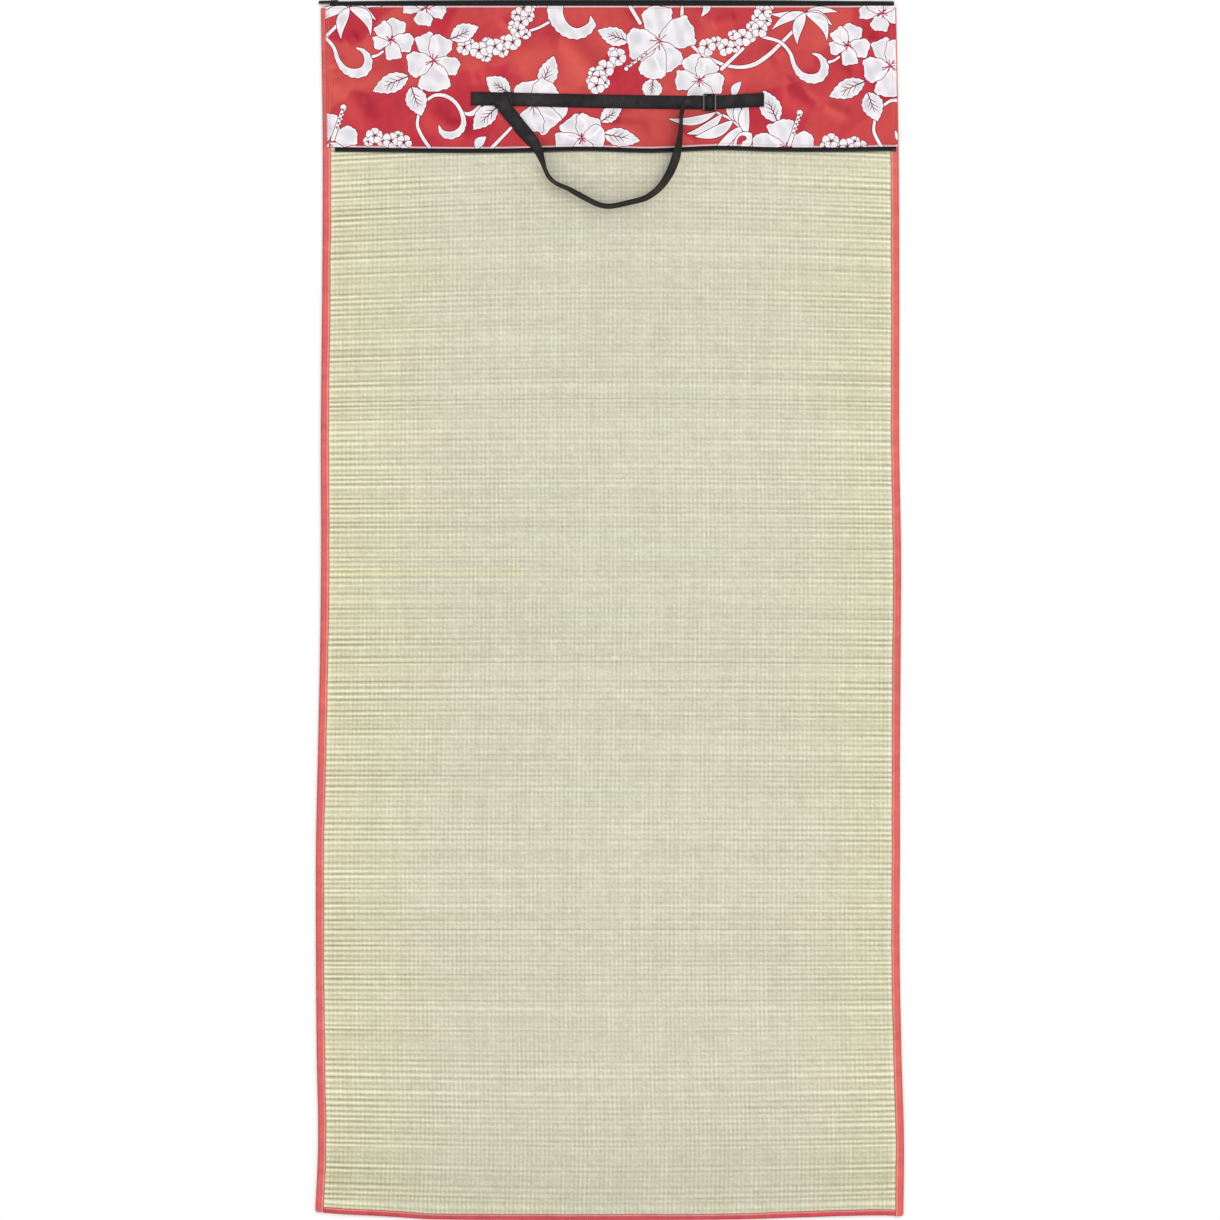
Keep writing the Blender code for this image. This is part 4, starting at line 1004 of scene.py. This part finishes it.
def heading(start, end):
    """Aim in degrees and length from one point to another."""
    aim = math.degrees(math.atan2(end[1] - start[1], end[0] - start[0]))
    return aim, math.dist(start, end)


def paint_leaf(painting, base, tip, width, chance):
    bend = chance.uniform(-0.05, 0.05)
    painting.lined(blade(base, tip, width, leaf_profile, bend, 0.7, 17, chance.uniform(0, 6)))
    aim, length = heading(base, tip)
    end = aimed(base, aim, length * 0.68)
    painting.add(LINE, stroke([(*base, 1.9), (*end, 0.8)]))
    for share, spread, reach in ((0.20, 44, 0.20), (0.34, 40, 0.23), (0.48, 36, 0.18)):
        for side in (-1, 1):
            root = aimed(base, aim, length * (share + side * 0.04))
            far = aimed(root, aim + side * spread, length * reach * chance.uniform(0.85, 1.15))
            painting.add(LINE, stroke([(*root, 1.3), (*far, 0.6)]))


def paint_flower(painting, centre, petals, chance):
    """Ruffled petals one over the next, and a crimson star in the middle."""
    for aim, length, width in petals:
        tip = aimed(centre, aim, length)
        bend = chance.uniform(-0.04, 0.04)
        waves, phase = chance.choice((5, 6, 7, 8)), chance.uniform(0, 6)
        notch = chance.choice((0.01, 0.03, 0.06))
        ruffle = 0.55 + width * 0.015
        outline = blade(centre, tip, width, petal_profile, bend, ruffle, waves, phase, notch)
        painting.lined(outline, 1.0)
    size = np.mean([length for _, length, _ in petals])
    for n in range(8):
        aim = n * 360 / 8 + chance.uniform(-14, 14)
        start = aimed(centre, aim, size * chance.uniform(0.02, 0.06))
        end = aimed(centre, aim + chance.uniform(-8, 8), size * chance.uniform(0.15, 0.30))
        ink = LINE if n % 3 == 2 else CRIMSON
        painting.add(ink, stroke([(*start, 1.5), (*end, chance.choice((1.2, 2.2)))], step=2.0))


def paint_blossom(painting, x, y, radius, chance):
    turn = chance.uniform(0, 72)
    count = 5 if radius > 10 else 4
    for n in range(count):
        tip = aimed((x, y), turn + n * 360 / count, radius * chance.uniform(0.88, 1.08))
        painting.lined(blade((x, y), tip, radius * 4.3 / count, petal_profile), 0.8)
    for n in range(count):
        end = aimed((x, y), turn + (n + 0.5) * 360 / count, radius * 0.36)
        painting.add(LINE, stroke([(x, y, 1.7), (*end, 0.8)]))


def paint_stamen(painting, base, tip, width):
    painting.lined(stroke([(*base, width), (*tip, width * 0.8)]))
    aim, length = heading(base, tip)
    knob = aimed(tip, aim, width * 0.9)
    back = aimed(tip, aim, -width * 0.7)
    painting.lined(blade(back, knob, width * 1.7, round_profile))
    for share in (0.38, 0.52, 0.66, 0.80, 0.94):
        root = aimed(base, aim, length * share)
        side = aimed(root, aim - 90, width * 0.62)
        painting.lined(stroke([(*root, 1.4), (*side, 2.4)]), 0.8)
        painting.add(LINE, stroke([(*aimed(root, aim - 90, width * 0.15), 1.5), (*root, 1.2)]))


def hibiscus_print():
    painting = Painting()
    chance = random.Random(4)
    for points in STEMS:
        painting.lined(stroke(points))
    for scallop, points in SCROLLS:
        painting.lined(stroke(points, scallop))
    for x, y, radius in BLOSSOM_FILL + BLOSSOMS:
        paint_blossom(painting, x, y, radius, chance)
    for x1, y1, x2, y2, width in LEAVES:
        paint_leaf(painting, (x1, y1), (x2, y2), width, chance)
    for x1, y1, x2, y2, width in FRONDS:
        bend = chance.uniform(0.05, 0.12)
        painting.lined(blade((x1, y1), (x2, y2), width, leaf_profile, bend))
    for centre, petals in FLOWERS:
        paint_flower(painting, centre, petals, chance)
    for x, y, width, bend in LILY_PETALS:
        painting.lined(blade(LILY, (x, y), width, lily_profile, bend))
    hollow = stroke(HOLLOW)
    painting.add(LINE, hollow + outward(hollow) * 0.6)
    painting.add(GROUND, hollow)
    for x1, y1, x2, y2, width in STAMENS:
        paint_stamen(painting, (x1, y1), (x2, y2), width)
    return painting


def inside(outline, points):
    """Which points are inside a closed outline."""
    x, y = points[:, 0][:, None], points[:, 1][:, None]
    x1, y1 = outline[:, 0][None, :], outline[:, 1][None, :]
    x2, y2 = np.roll(outline[:, 0], -1)[None, :], np.roll(outline[:, 1], -1)[None, :]
    crosses = (y1 > y) != (y2 > y)
    height = np.where(y2 == y1, 1e-9, y2 - y1)
    return ((crosses & (x < (x2 - x1) * (y - y1) / height + x1)).sum(axis=1) % 2).astype(bool)


def panel_border():
    """Closed outline of the panel, head edge first, and the lines of its two hems."""
    y = np.linspace(PANEL_HEAD_Y, 681.6, 64)
    left = np.stack([left_x(y) + PANEL_LEFT_IN, y], axis=1)
    right = np.stack([right_x(y) - PANEL_RIGHT_IN, y], axis=1)
    left[-1, 1] = panel_foot_y(left[-1, 0])
    right[-1, 1] = panel_foot_y(right[-1, 0])
    share = np.linspace(0, 1, 260)[1:-1]
    head = left[0] * (1 - share[:, None]) + right[0] * share[:, None]
    foot_x = left[-1, 0] * (1 - share) + right[-1, 0] * share
    foot = np.stack([foot_x, panel_foot_y(foot_x)], axis=1)
    border = np.concatenate([left, foot, right[::-1], head[::-1]])
    hems = []
    for inset in (0.9, HEM_FOLD, HEM_GROOVE, 5.0):
        hems.append(head + (0, -inset))
        hems.append(foot + (0, inset))
    return border, hems


def triangulated(outlines, lines, loose):
    """Points and triangles of a mesh that keeps every outline and line as edges."""
    points, edges = [], []
    for line, closed in [(o, True) for o in outlines] + [(line, False) for line in lines]:
        start = len(points)
        points += [Vector(p) for p in line]
        edges += [(start + i, start + i + 1) for i in range(len(line) - 1)]
        if closed:
            edges.append((start + len(line) - 1, start))
    points += [Vector(p) for p in loose]
    verts, _, faces, _, _, _ = delaunay_2d_cdt(points, edges, [], 0, 1e-4, False)
    return np.array([tuple(v) for v in verts]), np.array(faces)


def ink_of(centres, layers):
    """The top ink at each point."""
    ink = np.zeros(len(centres), int)
    for kind, outline in layers:
        low, high = outline.min(axis=0), outline.max(axis=0)
        near = np.flatnonzero(((centres > low) & (centres < high)).all(axis=1))
        if len(near):
            ink[near[inside(outline, centres[near])]] = kind
    return ink


def rolling(x, y, length, seed):
    """Seeded smooth variation of about -1 to 1 over the plane, by waves of several directions."""
    rng = np.random.default_rng(seed)
    total = np.zeros_like(x)
    for _ in range(6):
        aim, phase = rng.uniform(0, 2 * math.pi, 2)
        turn = 2 * math.pi / (length * rng.uniform(0.7, 1.5))
        total += np.sin((x * math.cos(aim) + y * math.sin(aim)) * turn + phase)
    return total / 3


def painted_facet_shade(x, y, count, seed):
    """Painted light and shade of about -1 to 1 on seeded flat places of a crumpled cloth, with soft
    narrow borders.
    """
    rng = np.random.default_rng(seed)
    sites = rng.uniform((-430, 676), (430, 894), (count, 2))
    tones = rng.uniform(-1, 1, count)
    bent = x + 3.0 * rolling(x, y, 30.0, seed + 20)
    u, v = bent * 0.8 + y * 0.6, (y * 0.8 - bent * 0.6) * 1.5
    away = np.hypot(u[:, None] - sites @ (0.8, 0.6), v[:, None] - sites @ (-0.6, 0.8) * 1.5)
    share = np.exp(-(away - away.min(axis=1)[:, None]) / FACET_BORDER)
    return (share * tones).sum(axis=1) / share.sum(axis=1)


def print_colours(points, faces, ink, layers):
    """Linear colour of each triangle corner: the ink's, shaded towards the middle of each motif; the
    red ground takes painted light and shade of the cloth's facets and creases.
    """
    nodes = np.concatenate([outline for kind, outline in layers if kind == WHITE])
    tree = KDTree(len(nodes))
    for i, (x, y) in enumerate(nodes):
        tree.insert((x, y, 0), i)
    tree.balance()
    depth = np.array([tree.find((x, y, 0))[2] for x, y in points])
    shade = smooth((depth - 0.3) / 2.6)
    x, y = points.T
    # Painted light and shade of crumpled-cloth facets, with random mottling of the red.
    tone = 0.95 * painted_facet_shade(x, y, 34, 12) + 0.35 * painted_facet_shade(x, y, 130, 13)
    tone += 0.16 * rolling(x, y, 90.0, 14) + 0.10 * rolling(x, y, 13.0, 17)
    _, ends = panel_edge_inset(x, y)
    # Painted highlight on the hem's folded edge at the head and the foot.
    hem_fold_highlight = (ends < HEM_FOLD - 0.1) * 1.0
    # Painted shade in the groove just inside the hem fold.
    hem_groove_shade = ((ends > HEM_FOLD - 0.1) & (ends < 4.5)) * 1.0
    # Painted light and shade from the slope of each crease, lighter on one side and darker on the
    # other.
    slope = crease_lift(x + 2.0, y + 2.0) - crease_lift(x - 2.0, y - 2.0)
    light = np.tanh(1.6 * slope)
    ground = linear(*CLOTH_RED)[None, :] * (1 + 0.105 * tone + 0.34 * light)[:, None]
    ground = ground * (1 + np.outer(tone + 0.9 * light, (0.0, 0.40, 0.10)))
    ground = ground * (1 - 0.30 * hem_groove_shade)[:, None]
    ground = ground * (1 - hem_fold_highlight[:, None]) + linear(*HEM_FOLD_HIGHLIGHT) * hem_fold_highlight[:, None]
    shade = shade * (0.62 + 0.38 * np.tanh(1.6 * rolling(x, y, 26.0, 15)))
    white = linear(*PETAL_WHITE) * (1 - shade[:, None]) + linear(*PETAL_GREY) * shade[:, None]
    inks = [
        ground,
        white * (1 - 0.12 * hem_groove_shade)[:, None],
        np.tile(linear(*LINE_PLUM), (len(points), 1)),
        np.tile(linear(*STAR_CRIMSON), (len(points), 1)),
    ]
    colours = np.zeros((len(faces), 3, 3))
    for kind, values in enumerate(inks):
        chosen = ink == kind
        colours[chosen] = values[faces[chosen]]
    return colours


def make_panel(material):
    """The printed cloth: one mesh cut along the motifs above, a coarse one below, joined at the rim."""
    border, hems = panel_border()
    low, high = border.min(axis=0), border.max(axis=0)
    layers = hibiscus_print().repeated(low, high)
    grid_x = np.arange(low[0] + 2, high[0], PANEL_GRID)
    grid_y = np.arange(low[1] + 7, high[1] - 6, PANEL_GRID)
    loose = np.array([(x + (n % 2) * 2, y) for n, y in enumerate(grid_y) for x in grid_x])
    points, faces = triangulated([border] + [outline for _, outline in layers], hems, loose)
    centres = points[faces].mean(axis=1)
    keep = inside(border, centres)
    faces, centres = faces[keep], centres[keep]
    used, index = np.unique(faces, return_inverse=True)
    points, faces = points[used], index.reshape(-1, 3)
    ink = ink_of(centres, layers)
    colours = print_colours(points, faces, ink, layers)

    ends = np.concatenate([faces[:, [0, 1]], faces[:, [1, 2]], faces[:, [2, 0]]])
    _, first, uses = np.unique(np.sort(ends, axis=1), axis=0, return_index=True, return_counts=True)
    rim = ends[first[uses == 1]]
    ring = np.unique(rim)
    place_of = {v: i for i, v in enumerate(ring.tolist())}
    rim_edges = [(place_of[a], place_of[b]) for a, b in rim.tolist()]
    spots = [Vector(p) for p in points[ring]]
    columns, rows = (np.arange(low[k] + 9, high[k] - 6, UNDER_GRID) for k in (0, 1))
    coarse = [Vector((x, y)) for y in rows for x in columns]
    verts, _, under, origin, _, _ = delaunay_2d_cdt(spots + coarse, rim_edges, [], 0, 1e-6, True)
    flat = np.array([tuple(v) for v in verts])
    under = np.array(under)
    under = under[inside(border, flat[under].mean(axis=1))]
    below_of = {o: i for i, found in enumerate(origin) for o in found if o < len(ring)}
    start = len(points)
    top = np.column_stack([points, panel_top(*points.T)])
    bottom = np.column_stack([flat, panel_low(*flat.T)])
    below = [[start + below_of[i] for i in edge] for edge in rim_edges]
    walls = [(b, a, *lower) for (a, b), lower in zip(rim.tolist(), below)]
    everything = faces.tolist() + (under[:, ::-1] + start).tolist() + walls
    plain = np.tile(linear(*CLOTH_UNDER), (len(under) * 3 + len(walls) * 4, 1))
    tints = np.concatenate([colours.reshape(-1, 3), plain])
    points = np.concatenate([top, bottom])
    look = {"tints": tints, "domain": "CORNER"}
    obj = add_object("panel_cloth", points, everything, material, "printed_cloth", **look)
    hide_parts("panel")
    return obj


def make_panel_seams(thread):
    """Stitch rows down the two sides and along the two hems."""
    down, along = np.linspace(*SIDE_SEAM_Y, 80), np.linspace(*HEM_SEAM_X, 300)
    pieces = []
    for name, (inset, *stitch) in SEAMS.items():
        x, y = along, np.full(len(along), PANEL_HEAD_Y - inset)
        if name == "seam_foot":
            y = panel_foot_y(x) + inset
        if name.startswith("seam_left"):
            x, y = left_x(down) + PANEL_LEFT_IN + inset, down
        if name == "seam_right":
            x, y = right_x(down) - PANEL_RIGHT_IN - inset, down
        path = np.column_stack([x, y, panel_top(x, y) + 0.05])
        pieces.append(stitches(name, path, *stitch, thread, "printed_cloth"))
    return pieces


def head_zip_free_y(x):
    return HEAD_ZIP_FREE_Y + HEAD_ZIP_CROWN * np.clip(1 - (x / HEAD_ZIP_X[1]) ** 2, 0, 1)


def head_tape_low(x):
    start, end = HEAD_ZIP_RISE_X
    return HEAD_TAPE_LOW + (FOOT_TAPE_LOW - HEAD_TAPE_LOW) * smooth((x - start) / (end - start))


def make_zip_half(name, node, x_range, sewn, free, low, side, tape_material, coil_material):
    """A zip half: woven tape from its sewn edge, and the coil along its free edge."""
    x = np.linspace(*x_range, 210)
    sewn_y, free_edge, base = sewn(x), free(x), low(x)
    inner = free_edge - COIL_WIDTH * 0.55 * side
    rings = []
    for share, up in ZIP_SECTION:
        rings.append(np.column_stack([x, sewn_y + (inner - sewn_y) * share, base + TAPE_THICK * up]))
    points = np.stack(rings, axis=1)
    colours = np.broadcast_to(linear(*ZIP_TAPE), points.shape)
    tape = add_object(name + "_tape", points, None, tape_material, "zip_tape", tints=colours)

    x = np.linspace(*x_range, round((x_range[1] - x_range[0]) / COIL_PITCH * 4))
    angle = np.linspace(0, 2 * math.pi, 10, endpoint=False)
    tooth = np.cos(2 * math.pi * x[:, None] / COIL_PITCH - np.cos(angle)[None, :] * 1.1)
    swell = 0.86 + 0.14 * tooth
    middle_y = free(x) - COIL_WIDTH / 2 * side
    middle_z = low(x) + COIL_HEIGHT / 2
    ring_y = middle_y[:, None] + COIL_WIDTH / 2 * np.cos(angle)[None, :] * swell
    ring_z = middle_z[:, None] + COIL_HEIGHT / 2 * np.sin(angle)[None, :] * swell
    points = np.stack([np.repeat(x[:, None], len(angle), axis=1), ring_y, ring_z], axis=-1)
    coil = add_object(name + "_coil", points, None, coil_material, "zip_tape")
    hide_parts(node)
    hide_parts(node)


def make_zip(tape, coil):
    def head_sewn(x):
        return np.full_like(x, PANEL_HEAD_Y - TAPE_UNDER)

    def foot_sewn(x):
        return panel_foot_y(x) + TAPE_UNDER

    def foot_low(x):
        return np.full_like(x, FOOT_TAPE_LOW)

    head_lines = (head_sewn, head_zip_free_y, head_tape_low)
    make_zip_half("zip_head", "zip_half_head", HEAD_ZIP_X, *head_lines, 1, tape, coil)
    foot_lines = (foot_sewn, foot_zip_free_y, foot_low)
    make_zip_half("zip_foot", "zip_half_foot", FOOT_ZIP_X, *foot_lines, -1, tape, coil)


def web_object(name, middle, across, normal, width, thick, material, painted_light):
    """A webbing strip through its middle points, whose UV runs along it and across it."""
    around = np.concatenate([WEB_SECTION, WEB_SECTION[::-1] * (1, -1)])
    points = middle[:, None, :] + across[:, None, :] * (width[:, None, None] / 2 * around[None, :, 0:1])
    points = points + normal[:, None, :] * (thick / 2 * around[None, :, 1:2])
    run = np.repeat(travelled(middle)[:, None], len(around), axis=1)
    uvs = np.stack([run, width[:, None] / 2 * around[None, :, 0]], axis=-1)
    # Painted sheen down the middle of the strap and painted shade on its rounded edges.
    tone = 1.35 - 0.75 * np.clip(abs(around[:, 0]), 0, 1) ** 3
    tone = np.tile(tone, (len(points), 1))
    tone *= 1 + 0.18 * patches(len(points), len(around), max(2, len(points) // 6), 3, len(name))
    # Painted highlights and painted shade at the listed places.
    for x, y, reach, gain in painted_light:
        away = np.hypot(points[..., 0] - x, points[..., 1] - y) / reach
        tone *= 1 + gain * np.exp(-(away**2))
    colours = tone[..., None] * linear(*WEBBING)
    obj = add_object(name, points, None, material, "webbing", tints=colours, uvs=uvs)
    return obj


def make_band(material):
    x = np.linspace(BAND_ROUTE[0][0], BAND_ROUTE[-1][0], 120)
    middle = np.column_stack([x, band_y(x), np.full(len(x), BAND_LOW + BAND_THICK / 2)])
    across, normal = (np.tile(axis, (len(x), 1)) for axis in ((0.0, 1.0, 0.0), (0.0, 0.0, 1.0)))
    width = np.full(len(x), WEB_WIDTH)
    obj = web_object("band_webbing", middle, across, normal, width, BAND_THICK, material, BAND_PAINTED_LIGHT)
    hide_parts("band")


def handle_rows():
    """The listed rows, then the run on the band, under and over the adjuster's bars."""
    ends = [(175.0, UNDER_BAR + 0.05), (200.0, UNDER_BAR + 0.05), (HANDLE_END_X, UNDER_BAR + 0.05)]
    run = [(ADJUSTER_X + offset, base) for offset, base in WEAVE] + ends
    return np.array(HANDLE_ROUTE + [(x, float(band_y(x)), base, 90, 0, 20) for x, base in run])


def make_handle(material):
    rows = handle_rows()
    knots = travelled(rows[:, :3])
    spans = zip(knots, knots[1:])
    at = np.concatenate([np.linspace(*span, SAMPLES_PER_ROW, endpoint=False) for span in spans])
    at = np.append(at, knots[-1])
    x, y, aim = (curve(knots, rows[:, k])(at) for k in (0, 1, 3))
    base, tilt, width = (curve(knots, rows[:, k], level=True)(at) for k in (2, 4, 5))
    aim, tilt = np.radians(aim), np.radians(tilt)
    z = base + width / 2 * np.sin(tilt) + HANDLE_THICK / 2 * np.cos(tilt)
    middle = np.column_stack([x, y, z])
    across = np.column_stack([np.cos(tilt) * np.cos(aim), np.cos(tilt) * np.sin(aim), np.sin(tilt)])
    run = unit(np.diff(middle, axis=0))
    ahead = np.concatenate([run[:1], run[:-1] + run[1:], run[-1:]])
    strip = (middle, across, unit(np.cross(ahead, across)), width, HANDLE_THICK)
    obj = web_object("handle_webbing", *strip, material, HANDLE_PAINTED_LIGHT)
    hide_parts("handle")


def rounded_ring(half, corner, count):
    """Points round a rounded rectangle, with the outward direction at each."""
    points, out = [], []
    for quarter, sides in enumerate(((1, 1), (-1, 1), (-1, -1), (1, -1))):
        for angle in np.linspace(quarter * math.pi / 2, (quarter + 1) * math.pi / 2, count):
            direction = np.array((math.cos(angle), math.sin(angle)))
            points.append(sides * (half - corner) + corner * direction)
            out.append(direction)
    return np.array(points), np.array(out)


def squarish(angles, half_wide, half_high):
    """Across and up of a full oval section at those angles."""
    across, up = np.cos(angles), np.sin(angles)
    full_across, full_up = np.sign(across) * abs(across) ** 0.6, np.sign(up) * abs(up) ** 0.6
    return half_wide * full_across, half_high * full_up


def make_adjuster(material):
    """A moulded slide: a rounded frame whose ends bridge the strap, with a painted highlight along the
    top of each end, and the bar under it.
    """
    around = np.linspace(0, 2 * math.pi, 12, endpoint=False)
    half = (np.array(ADJUSTER_SIZE) - SLIDE_RAIL) / 2
    path, out = rounded_ring(half, SLIDE_CORNER, 5)
    rings, tones = [], []
    for (x, y), (nx, ny) in zip(path, out):
        bridging = smooth((abs(x) - half[0] + 1.7) / 1.4)
        low = SLIDE_LOW + (SLIDE_BRIDGE - SLIDE_LOW) * bridging
        half_high = (SLIDE_HIGH - low) / 2
        wide, high = squarish(around, SLIDE_RAIL / 2, half_high)
        rings.append(np.column_stack([x + nx * wide, y + ny * wide, low + half_high + high]))
        # Painted highlight on the upper side of the two end bars.
        light = bridging * np.clip(np.sin(around), 0, 1)
        tones.append(0.55 + 11.5 * light**2)
    base = len(rings) * len(around)
    faces = loft_faces(len(rings), len(around), closed=True)
    bar_y = np.linspace(-half[1], half[1], 9)
    wide, high = squarish(around, CENTRE_BAR / 2, CENTRE_HIGH / 2)
    for y in bar_y:
        bar_z = SLIDE_LOW + CENTRE_HIGH / 2 + high
        rings.append(np.column_stack([wide, np.full(len(around), y), bar_z]))
        tones.append(np.ones(len(around)))
    faces += [[base + v for v in face[::-1]] for face in loft_faces(len(bar_y), len(around))]
    points = np.concatenate(rings) + (ADJUSTER_X, float(band_y(ADJUSTER_X)), 0)
    colours = np.concatenate(tones)[:, None] * linear(*PLASTIC)
    obj = add_object("adjuster_slide", points, faces, material, "adjuster_plastic", tints=colours)
    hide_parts("adjuster")


def set_cad_finishes(metal, dark):
    """The zip's small hard parts keep their solids and take finished materials."""
    finishes = {"zip_slider": metal, "zip_pull": metal, "zip_pin_head": dark, "zip_box_foot": dark}
    for name, material in finishes.items():
        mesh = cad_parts[name].data
        mesh.materials.clear()
        mesh.materials.append(material)


def make_stage():
    """Pale floor, soft light and the camera straight above the mat."""
    pale = Finish("studio_floor", 0.9, (1.0, 1.0, 1.0), Specular_IOR_Level=0.1)
    pale.layer(pale.noise(3.0, 2.0), 0.965, 0.975)
    mesh = bpy.data.meshes.new("studio_floor")
    corners = [(x * FLOOR_HALF, y * FLOOR_HALF, 0) for x, y in ((-1, -1), (1, -1), (1, 1), (-1, 1))]
    mesh.from_pydata(corners, [], [(0, 1, 2, 3)])
    mesh.materials.append(pale.material)
    floor = in_scene("studio_floor", mesh)
    floor.location.z = FLOOR_Z

    world = bpy.data.worlds.new("studio")
    world.use_nodes = True
    background = world.node_tree.nodes["Background"]
    background.inputs["Color"].default_value = (1.0, 1.0, 1.0, 1.0)
    background.inputs["Strength"].default_value = WORLD_LEVEL
    bpy.context.scene.world = world
    light = bpy.data.lights.new("key", "AREA")
    light.size = LAMP_SIZE
    light.energy = LAMP_WATTS
    lamp = in_scene("key", light)
    lamp.location = LAMP_PLACE
    lamp.rotation_euler = (-LAMP_PLACE).to_track_quat("-Z", "Y").to_euler()

    camera = bpy.data.cameras.new("camera")
    camera.sensor_width = FILM
    camera.lens = FILM * CAMERA_PLACE[2] / PICTURE_SIDE
    camera.clip_end = 50.0
    viewer = in_scene("camera", camera)
    viewer.location = [MM * value for value in CAMERA_PLACE]
    bpy.context.scene.camera = viewer
    bpy.context.scene.view_settings.view_transform = "Standard"


def main():
    make_straw(straw_material())
    tape = tape_material()
    thread = speckled_material("coral_thread", THREAD, 0.6, 700.0, 0.85, 1.15)
    make_bindings(tape, thread)
    panel = make_panel(print_material())
    seams = make_panel_seams(thread)
    coil = speckled_material("zip_coil", ZIP_COIL, 0.4, 300.0, 0.8, 1.25)
    make_zip(zip_tape_material(), coil)
    webbing = webbing_material()
    make_band(webbing)
    make_handle(webbing)
    make_adjuster(plastic_material())
    metal = speckled_material("dark_metal", METAL, 0.38, 600.0, 0.8, 1.2, Metallic=0.7)
    dark = speckled_material("zip_end_plastic", ZIP_END, 0.4, 500.0, 0.8, 1.3)
    set_cad_finishes(metal, dark)
    make_stage()


main()
